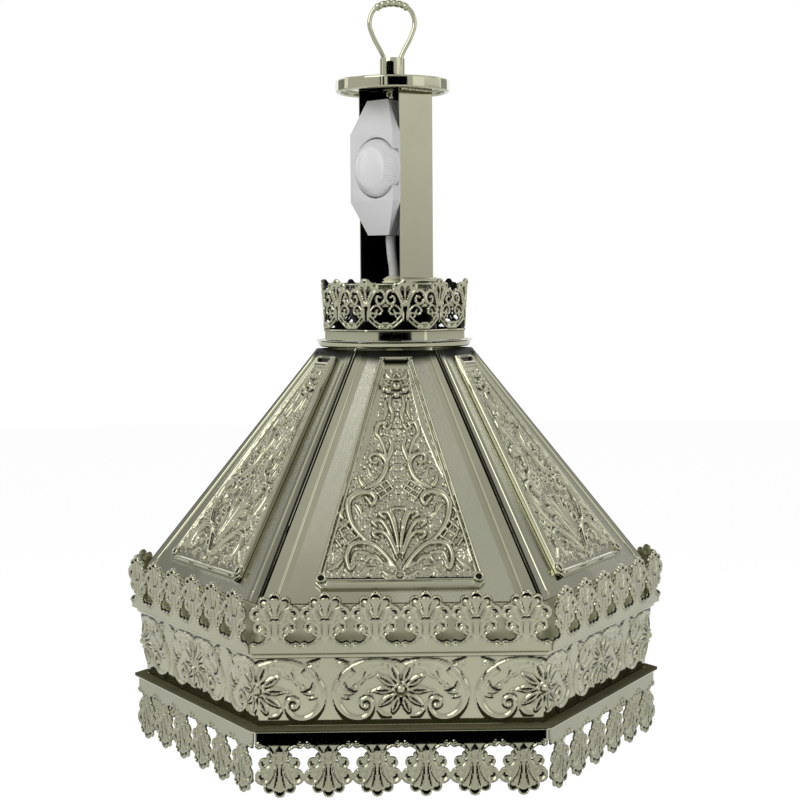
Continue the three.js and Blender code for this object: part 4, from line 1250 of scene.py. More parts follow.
def pierced_sheet(name, x, y, h, field, black, place, loop=False, back_painted_shade=0.0, **rest):
    """A closed sheet of the cells that lie inside the outline where field = 0; its edge is a little
    lower, as a sawn edge is. With loop, the last column is the first one again."""
    keep, index = kept_cells(field), numbered(x.shape)
    around = np.pad(keep, 1)
    if loop:
        index[:, -1] = index[:, 0]
        around[1:-1, 0], around[1:-1, -1] = keep[:, -1], keep[:, 0]
    count = around[:-1, :-1].astype(int) + around[1:, :-1] + around[:-1, 1:] + around[1:, 1:]
    rim = (count > 0) & (count < 4)
    x, y = onto_outline(x, y, field, rim)
    front_h = h - EDGE_DROP * rim
    back_h = np.minimum(CAST_PRESS * blurred(h, 4) - CAST_THICK, front_h - CAST_THINNEST)
    total = x.size
    quads = grid_faces(index)[keep.ravel()]
    start, stop = bare_edges(keep, around, index).T
    walls = np.stack([stop, start, start + total, stop + total], -1)
    faces = np.concatenate([quads, quads[:, ::-1] + total, walls])
    used, packed = np.unique(faces, return_inverse=True)
    points = np.stack([side_by_side(x, y, front_h), side_by_side(x, y, back_h)]).reshape(-1, 3)[used]
    # Painted shade in recesses and in the cuts, a little over the back, and black on the back where asked.
    dark = np.maximum(CAST_RECESS_SHADE * recesses(h), black).ravel()
    dark = np.append(dark, np.full(total, CAST_BACK_SHADE))[used]
    painted_shade = np.repeat((0.0, back_painted_shade), total)[used]
    new_piece(name, points, [packed.reshape(faces.shape)], NICKEL_PLATE, place=place,
              values={"recess": dark, "painted_shade": painted_shade}, **rest)


print("sheet", CAST_THICK, "mm thick, and", CAST_THINNEST, "mm at its thinnest")

# %% [markdown]
# The gallery's motif is a palmette: a fan of five lobes over a collar, on a round stem, with a large
# and a small scroll on each side. Neighbours touch at their large scrolls, and what stays open below
# is the keyhole. Measures are from the palmette's middle line and from the foot of the openwork, and
# only the right half is drawn.

# %% A palmette's outline
PALMETTE_HALF = 13.8
PALMETTE_RISE = 29.8
LOBES = [(0, 26.4, 3.4), (5.9, 24.0, 3.3), (9.3, 17.7, 4.75), (8.5, 9.9, 3.4), (5.3, 6.0, 2.1),
         (12.6, 17.9, 1.9)]
BODY = [(-1, 0), (3.8, 4.4), (3.5, 7), (5.2, 10), (8.8, 13.3), (9.5, 18), (8.2, 21.8), (4, 26), (-1, 28)]
FOOT_RAIL = [(-1, -20), (14, -20), (14, 0.1), (13.4, 0.7), (12.2, 1.9), (11.2, 2.0), (9.4, 1.2), (8.0, 1.5),
             (6.1, 2.8), (4.8, 4.6), (3.6, 7), (-1, 7)]


def palmette_outline(x, y):
    """Signed distance to the metal of half a palmette: the least of its lobes', body's and rail's."""
    straight = [polygon_field(x, y, outline) for outline in (BODY, FOOT_RAIL)]
    return np.minimum.reduce([disc_field(x, y, LOBES), *straight])


print("palmette:", 2 * PALMETTE_HALF, "mm wide and", PALMETTE_RISE, "mm high")

# %% [markdown]
# Its carving is a list of strokes. The scrolls' ridges are walked from the stem outward and round to
# their pit, which is how an engraver would cut them. The upper castings have a collar under the fan,
# and on the lower ones, which hang upside down, the fan's grooves run on to the stem instead.

# %% A palmette's carving
# Each stroke is a line of points, a half width or a taper, and a height or a depth.
SCROLL_RIDGES = [
    ([(3.0, 4.6), (3.3, 9.5), (4.7, 14.5), (6.2, 18.8), (9.0, 21.5), (12.2, 20.2), (13.4, 17.4), (12.0, 14.4),
      (9.2, 13.8), (7.4, 15.6)], (1.0, 1.1, 1.25, 1.0), 1.15),
    ([(3.5, 7.5), (4.6, 10.8), (6.8, 12.7), (9.6, 12.6), (11.3, 10.4), (10.6, 7.9), (8.5, 7.2), (7.2, 8.6)],
     (0.8, 1.0, 0.9), 1.05),
    ([(3.4, 5.4), (4.5, 7.6), (6.4, 7.4), (6.6, 5.6), (5.4, 5.2)], (0.7, 0.9), 0.9),
    ([(13.9, -0.6), (12.9, 0.4), (11.8, 1.1), (9.4, 0.4), (7.4, 0.9), (5.4, 2.3), (3.9, 4.3), (2.9, 7.0)],
     0.8, 0.9),
]
LOBE_RIMS = [((0.0, 26.2), 10, 170, 2.5), ((5.9, 24.0), -30, 140, 2.4)]
LEAF_TIPS = [((0.0, 25.6), 1.5), ((5.3, 23.0), 1.5), ((7.8, 20.6), 1.0)]
VEINS = [
    ([(1.3, 15.6), (1.9, 20), (2.9, 24.0)], 0.5, 0.55),
    ([(2.4, 15.6), (4.6, 19.6), (6.9, 21.9)], 0.5, 0.55),
    ([(2.4, 3.6), (1.8, 8), (2.2, 12)], 0.5, 0.3),
]
# Black is painted into these cuts, as shade.
BLACK_CUTS = [
    ([(9.0, 18.6), (10.6, 18.2), (11.0, 16.6)], (0.5, 1.1, 0.5), 0.8),
    ([(8.2, 10.6), (9.4, 10.4), (9.6, 9.2)], (0.4, 0.8, 0.4), 0.7),
    ([(4.6, 5.9)], 0.55, 0.5),
    ([(0.0, 27.2), (1.6, 26.9), (2.6, 25.6)], (0.8, 0.8, 0.4), 0.6),
    ([(4.4, 25.2), (6.2, 25.4), (7.7, 24.0)], (0.5, 0.8, 0.5), 0.6),
    ([(10.2, 22.0), (12.4, 21.2), (13.9, 19.4)], (0.35, 0.6, 0.6), 0.3),
    ([(13.9, 0.8), (12.6, 1.5), (11.4, 1.8), (9.2, 1.0), (7.4, 1.6), (5.6, 3.2)],
     (0.8, 0.9, 0.8, 0.8, 0.3), 0.3),
]
COLLAR_CUTS = [([(0, 13.9), (1.3, 14.4), (2.6, 13.8)], (0.4, 0.6, 0.5), 0.5)]
STEM_CUTS = [([(0.9, 9.5), (1.4, 15.6), (2.9, 23.6)], (0.25, 0.45, 0.5), 0.5),
             ([(1.6, 9.5), (3.2, 16.4), (6.2, 21.2)], (0.25, 0.45, 0.5), 0.5)]
# The lower castings hang under the flange and are darkened all over: painted shade.
LOWER_SHADE = 0.15


def palmette_relief(die, collar):
    """The body swells by up to 0.7 mm inward from its outline and the lobes by 0.3; then the strokes."""
    swell = 0.7 * wave(-0.6, 1.6, -polygon_field(die.x, die.y, BODY))
    die.h += np.maximum(swell, 0.3 * wave(0, 1.5, -disc_field(die.x, die.y, LOBES)))
    for stroke in SCROLL_RIDGES:
        die.ridge(*stroke)
    die.ridge([(0, 3.4), (0, 8.0), (0, 13.4)], (1.6, 1.5, 1.0), 0.45, over=True)
    for (x, y), low, high, radius in LOBE_RIMS:
        t = np.radians(np.linspace(low, high, 7))
        die.ridge(side_by_side(x + radius * np.cos(t), y + radius * np.sin(t)), 0.85, 1.25)
    root = 15.4 if collar else 8.0
    for (x, y), width in LEAF_TIPS:
        die.ridge([(x * 0.22, root), (x * 0.55, 19.5), (x, y)], (0.5, width * 0.8, width), 0.5, over=True)
    die.ridge([(0, 15.0), (1.5, 15.5), (2.9, 14.6), (2.9, 12.8)], 0.7, 0.4, over=True)
    die.dome((PALMETTE_HALF - 2.2, -1.4), 1.15, 0.8)
    for stroke in VEINS:
        die.pit(*stroke)
    for stroke in BLACK_CUTS + (COLLAR_CUTS if collar else STEM_CUTS):
        die.cut(*stroke)
    # Painted shade over the whole lower casting.
    if not collar:
        die.black = np.maximum(die.black, LOWER_SHADE)


print("strokes in half a palmette:", len(SCROLL_RIDGES + LOBE_RIMS + LEAF_TIPS + VEINS + BLACK_CUTS))

# %% [markdown]
# Six palmettes in a row over a plain band make one side of a gallery. The upper strip stands on its
# flange and leans out a little, and the lower one is the same casting hung upside down on a deeper
# band. The strip is worked out once and placed six times.

# %% Galleries
PALMETTES = 6
UPPER = {"side": 170.6, "bottom": 43.3, "band": 5.2, "lean": math.radians(2.5), "collar": True}
LOWER = {"side": 167.0, "top": -2.5, "band": 7.7, "collar": False}


def gallery_arrays(spec):
    """x, y, height, outline field and black of a strip as long as its side, less the gap at the corner."""
    length = 2 * (spec["side"] * ACROSS - SHEET) * math.tan(math.pi / 6) - GAP
    band = spec["band"]
    xs = np.linspace(0, length / PALMETTES / 2, 24) * (PALMETTE_HALF * 2 / (length / PALMETTES))
    ys = np.concatenate([(-band, 0.2 - band, 0.4 - band), np.arange(-3.6, PALMETTE_RISE + 0.6, 0.55)])
    x, y = np.meshgrid(xs, ys)
    die = Die(x, y)
    palmette_relief(die, spec["collar"])
    h, field, black = (repeated(mirrored(a), PALMETTES) for a in (die.h, palmette_outline(x, y), die.black))
    full_x, full_y = np.meshgrid(np.linspace(-length / 2, length / 2, h.shape[1]), ys)
    return full_x, full_y, h, np.maximum(field, -band - full_y - 1e-6), black


def stand_up(points, side):
    """Upper gallery: y up a plate that leans out 2.5 degrees, h out of it."""
    x, y, h = points.T
    y = y + UPPER["band"]
    out = UPPER["side"] * ACROSS + y * math.sin(UPPER["lean"]) + h * math.cos(UPPER["lean"])
    up = UPPER["bottom"] + y * math.cos(UPPER["lean"]) - h * math.sin(UPPER["lean"])
    return to_side(np.stack([x, -out, up], -1), side)


def hang_down(points, side):
    """Lower gallery: x and y the other way round, h out of it."""
    x, y, h = points.T
    return to_side(np.stack([-x, -(LOWER["side"] * ACROSS + h), LOWER["top"] - LOWER["band"] - y], -1), side)


for name, spec, placed in (("upper_gallery", UPPER, stand_up), ("lower_gallery", LOWER, hang_down)):
    arrays = gallery_arrays(spec)
    for side in SIDE_NUMBERS:
        pierced_sheet(f"{name}_cast_{side}", *arrays, lambda p: placed(p, side), replaces=[f"{name}_{side}"])
    print(name, "strip:", triangles[f"{name}_cast_1"], "triangles")

# %% [markdown]
# The relief panels carry the richest work: a flower at the top, a sprig, three growing scrolls on
# each side, a fan of leaves in the middle, two arches below it, and trellis in the corners, all over
# a pebbled ground. The strokes are read off the panel as seen square on. Each one is a line of points
# (x, v) for the left half, a half width or a taper, and a height; the right half is its mirror image.

# %% A relief panel's strokes
PANEL = {"low": 8.0, "high": 162.0, "low_half": 48.3, "high_half": 10.0, "corner": 3.2, "face": 2.3}
STROKES = [
    ([(-6, 150.7), (-5.5, 147.7), (-3, 146.5), (-1, 148.8)], (0.7, 1.1, 0.7), 1.0),
    ([(-7, 130.2), (-6.5, 123.8), (-7.7, 118)], (0.8, 1.2, 0.6), 1.0),
    ([(-3.5, 133.5), (-4.2, 127.5), (-2.6, 121.5), (-3.5, 116.0)], (0.7, 1.2, 0.8), 1.1),
    ([(-3.5, 114), (-5.4, 111.2), (-7.9, 112.3), (-6.9, 115.2), (-10.4, 115.2), (-12.1, 111.2),
      (-12.3, 107.3), (-10.3, 104.4), (-7.9, 97.6), (-6.8, 92)], (0.8, 1.0, 1.3, 1.1, 0.8), 1.3),
    ([(-4.9, 104.3), (-3.4, 99.8), (-4.9, 93.1), (-5.9, 89.2)], (0.8, 1.5, 0.8), 1.1),
    ([(-12.2, 88.2), (-14.2, 88.2), (-16.1, 89.3), (-16.1, 92.7), (-13.2, 94.3), (-9.3, 92.6), (-6.8, 88.1),
      (-7.8, 82), (-10.7, 76.5), (-15.5, 72.7), (-18.9, 71.1)], (0.9, 1.0, 1.5, 1.4, 0.9), 1.5),
    ([(-22.8, 79.4), (-22.2, 76.2), (-20.4, 73.3)], (0.8, 1.5), 1.2),
    ([(-17.6, 84.5), (-15.9, 80.0), (-12.4, 78.6)], (0.7, 1.3, 0.8), 1.0),
    ([(-19.3, 65.1), (-17.4, 62.9), (-15.4, 60.2), (-13.5, 64), (-15.9, 67.8), (-21.3, 69), (-26.6, 66.3),
      (-29.2, 61.4), (-28.8, 53.9), (-26.3, 46.4), (-20.9, 38.9), (-16.2, 35.1)],
     (0.8, 1.0, 1.6, 1.8, 1.6, 1.3, 0.9), 1.6),
    ([(-25.0, 60.5), (-22.6, 58.2), (-21.6, 54.2)], (0.8, 1.5, 0.7), 1.0),
    ([(-31.8, 58.0), (-33.6, 55.2), (-32.4, 51.6)], (0.7, 1.1, 0.7), 1.0),
    ([(0, 57.9), (-3.8, 57.4), (-4.3, 55.2), (-1.9, 48.2), (-0.5, 33.4)], (0.9, 1.2, 0.9, 0.7), 1.4),
    ([(-8.1, 51.5), (-10.1, 53.1), (-11, 55.3), (-7.7, 55.8), (-4.8, 52.5), (-1.9, 40.8), (-0.5, 29.2)],
     (0.8, 1.2, 1.2, 0.7), 1.4),
    ([(-12.9, 46.2), (-14.4, 47.8), (-15.3, 49.4), (-12, 50.5), (-8.6, 47.8), (-4.8, 39.7), (-1.4, 29.2)],
     (0.8, 1.2, 1.2, 0.7), 1.4),
    ([(-11.9, 38.8), (-14.3, 39.8), (-14.8, 42.5), (-10.5, 43), (-6.7, 39.8), (-3.8, 33.4), (-1.4, 26)],
     (0.8, 1.2, 1.1, 0.7), 1.4),
    ([(-25.9, 21.1), (-28.3, 19), (-30, 24.3), (-29.8, 29.5), (-27.1, 34.7), (-21.4, 36.2), (-15.2, 34.6),
      (-8.5, 28.2), (-2.8, 20.3)], (0.8, 1.2, 1.4, 1.4, 1.1), 1.5),
    ([(-25.5, 24.2), (-27.4, 21.1), (-26, 28.4), (-22.8, 30.5), (-18, 29.4)], (0.6, 1.0, 0.8), 1.0),
    ([(-19.4, 24.1), (-17, 27.2), (-13.2, 26.7), (-10.4, 24)], (0.8, 1.5, 0.8), 1.1),
    ([(-40, 19.2), (-36.8, 21.2), (-32.6, 25.3)], (0.7, 1.3, 0.7), 1.0),
    ([(-34.8, 18.1), (-32.5, 21.2)], (0.7, 1.0), 0.9),
    ([(-22.5, 16.4), (-19.0, 19.6), (-14.8, 20.2)], (0.7, 1.3, 0.7), 0.9),
    ([(-10.4, 23), (-6.6, 22.4), (-1.9, 18.7)], (0.7, 1.4, 0.8), 1.1),
    ([(-9.9, 17.8), (-6.6, 15.2), (-3.8, 14.6)], (0.7, 1.4, 0.8), 1.1),
    ([(-2.8, 14.6), (-2.4, 16.9), (0, 17.9)], 0.7, 1.1),
]
TRELLIS = [
    [(-15.5, 70.5), (-6.8, 76.5)], [(-12.1, 67.8), (-2.9, 74.2)], [(-10.6, 64.5), (-2.9, 70.4)],
    [(-6.8, 76.5), (-2.9, 70.4)], [(-10.7, 74.3), (-5.8, 66.6)], [(-14.5, 71.1), (-9.6, 63.9)],
    [(-34.4, 44.3), (-29.2, 49.6)], [(-32.9, 40.1), (-26.3, 45.3)], [(-31.4, 34.8), (-23.8, 40)],
    [(-34.4, 44.3), (-28.5, 33.7)], [(-31.6, 48.6), (-24.8, 38.9)], [(-36.2, 38.0), (-33.4, 33.6)],
]
FAN_HOLLOW = ([(0, 54.5), (0, 50), (0, 44)], 2.4, 0.9)
BERRIES = [((-20.6, 54.3), 1.8, 1.2), ((-10.4, 101.0), 1.1, 0.9), ((-3.4, 85.0), 1.3, 1.0),
           ((-7.2, 140.0), 1.0, 0.7), ((-2.2, 109.5), 1.0, 0.9), ((0, 96.0), 1.6, 1.2),
           ((0, 118.5), 1.5, 1.1), ((-18.9, 47.0), 1.1, 0.9)]
print("panel strokes:", len(STROKES), "and trellis bars:", len(TRELLIS))

# %% [markdown]
# The flower at the top is what catches the eye first: a round eye, three petals below it and leaves
# above, each with a black line under its edge, painted as the shade there. A small star fills each
# lower corner.

# %% The flower and the stars
FLOWER_AT = 141.2
FLOWER_LEAVES = [([(-5.9, 149.4), (-4.2, 147.2), (-2.0, 146.0), (0.4, 145.6)], (0.9, 1.2, 1.0), 1.9),
                 ([(-7.4, 143.8), (-5.6, 142.4), (-3.8, 142.0)], (0.6, 1.0, 0.6), 1.5)]
FLOWER_DOMES = [((-5.1, 138.4), 2.3, 2.0), ((0, 135.2), 2.3, 1.9), ((0, FLOWER_AT), 2.8, 2.6)]
FLOWER_CUTS = [([(0, 141.8), (0, 140.8)], 0.55), ([(-4.0, 143.6)], 0.8), ([(-2.4, 138.6), (0, 137.9)], 0.7),
               ([(-7.4, 137.4), (-5.8, 135.8), (-3.4, 136.0)], 0.7), ([(-2.5, 133.4), (0, 132.5)], 0.6)]
STAR_AT, STAR_RAYS = np.array((-37.4, 29.6)), 8


def panel_ornament(die):
    """All of the panel's strokes, 1.3 times as wide and 1.7 times as high as listed."""
    for points, width, height in STROKES:
        die.ridge(points, np.array(width) * 1.3, 1.7 * height)
    for points in TRELLIS:
        die.ridge(points, 0.85, 1.9)
    die.pit(*FAN_HOLLOW)
    for berry in BERRIES:
        die.dome(*berry)
    for leaf in FLOWER_LEAVES:
        die.ridge(*leaf)
    for petal in FLOWER_DOMES:
        die.dome(*petal)
    for points, width in FLOWER_CUTS:
        die.cut(points, width, 0.5)
    for angle in np.arange(STAR_RAYS) * FULL_TURN / STAR_RAYS:
        ray = np.array([np.cos(angle), np.sin(angle)])
        die.ridge([STAR_AT + ray * 0.8, STAR_AT + ray * 2.9], (0.6, 1.0), 1.0)
    die.dome(STAR_AT, 1.1, 1.4)


print("flower", FLOWER_AT, "mm up the slope")

# %% [markdown]
# The panel is one sheet with a double rib down each side, a rib along its foot and a slot at its
# head, where the crown's flange shades it. The ornament's ground is pebbled, and the stones lie only
# where no stroke does. The die is a half panel, from the middle outward, and rows of points follow
# the taper, so that both ribs run along columns.

# %% Relief panels
FIELD_EDGE = np.array([(46.1, 18.2), (42.7, 30.7), (36.5, 54), (31.9, 65.8), (22.5, 87.7), (13.8, 113.5),
                       (9.5, 135.4), (7.1, 153)])
BORDER_RISE = 0.55
FOOT_ROWS_TO, ROW_STEP, HALF_COLUMNS = 12, 0.5, 84
RIB_LINES, RIB_HALF, RIB_RISE = (0.95, 3.4), 0.8, 0.9
RIBS_START, RIBS_END = (15.8, 17.4), (160.8, 159.8)
FOOT_RIB_AT, FOOT_RIB_HALF, FOOT_RIB_RISE, FOOT_RIB_REACH = 10.9, 1.3, 1.5, 42
HEAD_BAR = ([(-7, 155.6), (1, 155.6)], 1.9, 1.5)
HEAD_SLOT = ([(-6.6, 159.0), (1, 159.0)], 1.5, 1.0)
FIELD_START, FIELD_END = (13.6, 14.4), (153.6, 153.0)
FLOWER_GROUND = (5, 8)
# The panel's side leans by 14 degrees, so this share of a distance along x is the way square to it.
SQUARE_TO_SIDE = 0.97
# Painted shade in the panel's recesses: how much, below what depth, and at most.
PANEL_RECESS_SHADE, PANEL_DEPTH, PANEL_RECESS_SHADE_MOST = 0.75, 0.75, 0.62
BACK_OF_PANEL = 0.3


def panel_half(v):
    """The panel's half width: an even taper, and cut corners at the foot."""
    taper = (PANEL["low_half"] - PANEL["high_half"]) / (PANEL["high"] - PANEL["low"] - PANEL["corner"])
    return np.minimum(PANEL["low_half"] - (v - PANEL["low"] - PANEL["corner"]) * taper,
                      PANEL["low_half"] - PANEL["corner"] + (v - PANEL["low"]))


def panel_border(die, inset):
    """Half-round ribs at fixed distances in from the side, one along the foot, and the head's slot."""
    for line in RIB_LINES:
        rib = half_round((inset - line) / RIB_HALF) * wave(*RIBS_START, die.y) * wave(*RIBS_END, die.y)
        die.h = np.where(rib > 0, np.maximum(die.h, BORDER_RISE + RIB_RISE * rib), die.h)
    foot_rib = FOOT_RIB_RISE * half_round((die.y - FOOT_RIB_AT) / FOOT_RIB_HALF)
    die.h = np.maximum(die.h, foot_rib * (die.x > -FOOT_RIB_REACH))
    die.ridge(*HEAD_BAR)
    die.cut(*HEAD_SLOT)


def panel_die():
    """Heights, and how dark the metal is painted as shade, over the left half of the panel, from its
    middle outward. The relief sinks to 0.4 of its height where the sheet is turned down along its side."""
    v = np.concatenate([np.linspace(PANEL["low"], FOOT_ROWS_TO, 8)[:-1],
                        np.arange(FOOT_ROWS_TO, PANEL["high"], ROW_STEP), [PANEL["high"]]])[:, None]
    x, y = np.broadcast_arrays(-np.linspace(0, 1, HALF_COLUMNS) * panel_half(v), v)
    die = Die(x, y)
    edge = np.interp(y, FIELD_EDGE[:, 1], FIELD_EDGE[:, 0])
    in_field = wave(-0.5, 0.5, edge + x) * wave(*FIELD_START, y) * wave(*FIELD_END, y)
    inset = (panel_half(y) + x) * SQUARE_TO_SIDE
    die.h += BORDER_RISE * (1 - in_field)
    panel_ornament(die)
    panel_border(die, inset)
    ground = in_field * wave(*FLOWER_GROUND, np.hypot(x, y - FLOWER_AT)) * wave(0.5, 0.0, die.h)
    die.h *= wave(-0.05, 0.35, inset) * 0.6 + 0.4
    h = die.h + STONE_RISE * pebbled(x, y, STONE_SIZE, STONE_SEED) * ground
    recess_shade = np.minimum(PANEL_RECESS_SHADE * recesses(die.h, PANEL_DEPTH), PANEL_RECESS_SHADE_MOST)
    return x, y, h, np.maximum(recess_shade, die.black)


def relief_panel(side, arrays):
    """The die's half and its mirror image on the slope, closed by a flat back with two columns."""
    x, y, h, recess = (mirrored(a) for a in arrays)
    x = np.abs(x) * np.sign(np.arange(x.shape[1]) - x.shape[1] // 2)
    front = on_slope(x, y, PANEL["face"] + h, side)
    back = on_slope(x[:, [-1, 0]], y[:, [-1, 0]], BACK_OF_PANEL, side)
    ring = np.concatenate([numbered(x.shape), x.size + numbered((len(x), 2))], 1)
    new_piece(f"relief_sheet_{side}", np.concatenate([front, back]),
              [grid_faces(ring, wrap_columns=True), ring[:1], ring[-1:, ::-1]], NICKEL_PLATE, sharp=60,
              values={"recess": np.append(recess, np.zeros(len(back)))}, replaces=[f"relief_panel_{side}"])


panel_arrays = panel_die()
for side in SIDE_NUMBERS:
    relief_panel(side, panel_arrays)
print("relief panel:", triangles["relief_sheet_1"], "triangles")

# %% [markdown]
# Two dark screws hold each panel at its lower corners, each in a round eyelet pressed up from the
# sheet. Both are small spins, whose upright axis becomes the slope's own direction outward.

# %% Eyelets and screws
EYELET_AT = (44.8, 14.0)


def screw(side, word, hand):
    """An eyelet and the screw's head in it, at a lower corner; hand is -1 for left and 1 for right."""
    def place(points):
        """The spin's x along the side, its y up the slope and its z out of it, moved to the corner."""
        return on_slope(points[:, 0] + hand * EYELET_AT[0], points[:, 1] + EYELET_AT[1], points[:, 2], side)
    # The eyelet's hole round the screw is painted black, as shade.
    spin(f"panel_eyelet_{side}_{word}",
         [(1.45, 2.0), (3.4, 2.0), (3.4, 3.5), (2.8, 4.3), (2.0, 4.2), (1.45, 3.4)],
         NICKEL_PLATE, segments=48, radius=0.3, painted_shade=lambda r, h: r < 1.6, place=place)
    spin(f"panel_screw_head_{side}_{word}",
         [(0, 1.6), (1.35, 1.6), (1.35, 3.25), (1.1, 3.5), (0.4, 3.45), (0, 3.25)],
         DARK_STEEL, segments=24, radius=0.1, place=place, slot="dark_screw",
         replaces=[f"panel_screw_{side}_{word}"])


for side in SIDE_NUMBERS:
    screw(side, "left", -1)
    screw(side, "right", 1)
print("screws:", sum(name.startswith("panel_screw_head") for name in triangles))

# %% [markdown]
# The frieze repeats one motif four times on each side, if mirror images are counted: from the
# middle of a rosette to the line where two scrolls turn their backs on each other. So only that
# quarter of a side is cut into the die. The strokes were measured from the scrolls' line, as
# (distance, height), and one function turns them to the rosette's side and to the tile's width.

# %% A frieze tile's strokes
QUARTER, DRAWN_QUARTER = 40.7, 39.8
BROAD_LEAF = ([(31, 34.4), (23, 33.6), (17, 30.8), (12.2, 26.2), (9.6, 20.6)], (1.2, 3.4, 4.2, 3.2, 1.4),
              0.75)
SCROLL = ([(37.2, 35.1), (29.7, 37.0), (21.7, 37.0), (15.2, 34.2), (9.4, 29.7), (5.1, 23.1), (4.0, 17.2),
           (5.1, 11), (9.4, 5.6), (14.7, 3.6), (20.1, 4.6), (23.3, 8.6), (23.6, 12.8), (21.5, 15.6),
           (18.4, 14.7), (17.9, 11.4), (20, 9.9)], (0.9, 2.0, 2.4, 2.0, 1.5, 1.2, 1.1), 1.25)
BUD = ((20.2, 10.6), 1.7, 1.6)
LEAVES = [
    ([(25.5, 34.6), (24.6, 30.4), (21.6, 27.6)], (0.8, 1.5, 0.7), 1.0),
    ([(20.4, 34.8), (19.4, 29.0), (17.4, 23.7)], (1.2, 1.9, 0.5), 1.2),
    ([(16.0, 33.4), (14.2, 29.2), (10.9, 27.2)], (1.2, 1.7, 0.5), 1.1),
    ([(12.4, 30.8), (12.8, 27.4), (14.8, 25.2)], (0.7, 1.1, 0.5), 1.0),
    ([(7.4, 28.6), (6.7, 24.0), (7.6, 20.6), (10.4, 18.9), (14.4, 20.1), (14.8, 22.6)],
     (0.9, 1.7, 1.4, 0.7), 1.3),
    ([(6.2, 20.5), (7.8, 16.8), (11.6, 15.8)], (0.8, 1.2, 0.5), 1.0),
    ([(11.6, 36.2), (8.3, 37.0), (5.4, 35.6)], (0.6, 1.5, 0.6), 1.1),
    ([(11.0, 34.0), (8.0, 34.6), (5.6, 33.6)], (0.5, 1.0, 0.5), 0.8),
    ([(26.8, 9.0), (29.6, 6.0), (33.4, 5.2)], (0.8, 1.3, 0.6), 0.9),
]
LEAF_VEINS = [
    ([(14.6, 34.2), (8.8, 29.4), (4.6, 23.1), (3.6, 17.2)], 0.5, 0.6),
    ([(19.6, 33.5), (18.6, 28.6), (17.6, 25.2)], 0.45, 0.5),
    ([(14.9, 6.4), (18.8, 7.2)], 0.7, 0.4),
]
LEAF_SHADOWS = [
    ([(39.8, 36.7), (37.5, 37.9), (32.7, 38.7), (27.9, 39.0), (22, 38.8), (18.4, 38.1), (14.0, 36.6)],
     (1.1, 0.8, 0.5, 0.5, 0.4)),
    ([(4.6, 39.0), (8.0, 38.0), (11.5, 36.8)], (0.9, 1.0, 0.5)),
    ([(8.9, 25.1), (10.3, 21.8), (12.6, 20.3), (14.9, 19.9)], (0.4, 1.0, 0.9)),
    ([(16.6, 15.6), (19.4, 17.4), (22.6, 17.3), (24.6, 15.2)], (0.4, 0.7, 0.4)),
    ([(18.9, 13.2), (21.2, 13.9), (22.2, 11.8)], (0.8, 0.9, 0.5)),
    ([(13.0, 33.0), (14.6, 31.2)], (0.9, 0.5)),
    ([(6.9, 30.6), (5.4, 26.8)], (0.6, 0.4)),
    ([(20.2, 31.4), (19.0, 28.0)], (0.6, 0.3)),
]


def from_rosette(points):
    """x counted from the rosette's middle: the tile's width less the stroke's x, stretched to the tile."""
    return [(QUARTER - x * QUARTER / DRAWN_QUARTER, h) for x, h in points]


print("a scroll starts", round(from_rosette(SCROLL[0])[0][0], 1), "mm from the rosette's middle")

# %% [markdown]
# A rosette is the same petal at five places round half a circle, with a groove down each and between
# each two, painted black as shade, and a raised ring with a knob in the middle. Each petal is a ridge
# that swells and narrows again from the middle outward.

# %% A rosette's half
ROSETTE_AT = np.array((0.0, 20.8))
PETALS = np.radians((22, 58, 93, 128, 161))
BETWEEN_PETALS = np.radians((5, 40, 76, 110, 145, 178))
UPPER_PETAL, LOWER_PETAL = 15.2, 14.0


def rosette(die):
    """A stroke at angle a, from upright, runs along the middle + way x (sin a, cos a)."""
    def ray(angle, *ways):
        """Points in one direction from the rosette's middle, at the given ways from it."""
        return [ROSETTE_AT + way * np.array((math.sin(angle), math.cos(angle))) for way in ways]
    for angle in PETALS:
        reach = LOWER_PETAL if angle == PETALS[-1] else UPPER_PETAL
        die.ridge(ray(angle, 4.0, 9.5, reach), (0.9, 2.6, 2.4, 1.0), 1.35)
        die.cut(ray(angle, 6.5, 9.5, reach - 1.2), (0.4, 0.95, 0.4), 1.1)
    for angle in BETWEEN_PETALS:
        die.cut(ray(angle, 5.2, 8.6), (0.8, 0.4), 0.8)
    die.ridge([ray(angle, 3.7)[0] for angle in np.radians(np.linspace(0, 180, 9))], 0.8, 1.9)
    die.dome(ROSETTE_AT, 2.7, 2.4)


print("petals on a whole rosette:", 2 * len(PETALS))

# %% [markdown]
# The tile is mirrored to a whole side and stood up on a wall that leans out a little. At a hexagon's
# corner two sides meet in the middle of a rosette, and there the relief must lean half way between
# their normals, or the petals would split.

# %% Frieze
FRIEZE_LOW, FRIEZE_HIGH = 0.3, 42.5
FRIEZE_LOW_SIDE, FRIEZE_HIGH_SIDE = 160.6, 165
TILE_COLUMNS = 60
RELIEF_FROM, RELIEF_TO, RELIEF_STEP = 1.4, 39.4, 0.7
HEAD_BEAD_AT, HEAD_BEAD_HALF = 41.2, 1.7
BUD_RING_AT, BUD_RING_RADIUS = (22.4, 18.6), 1.3
# Painted shade in the frieze's hollows, and the depth that counts as one.
FRIEZE_RECESS_SHADE, FRIEZE_DEPTH = 0.5, 0.6
CORNER_SHARE = 0.09


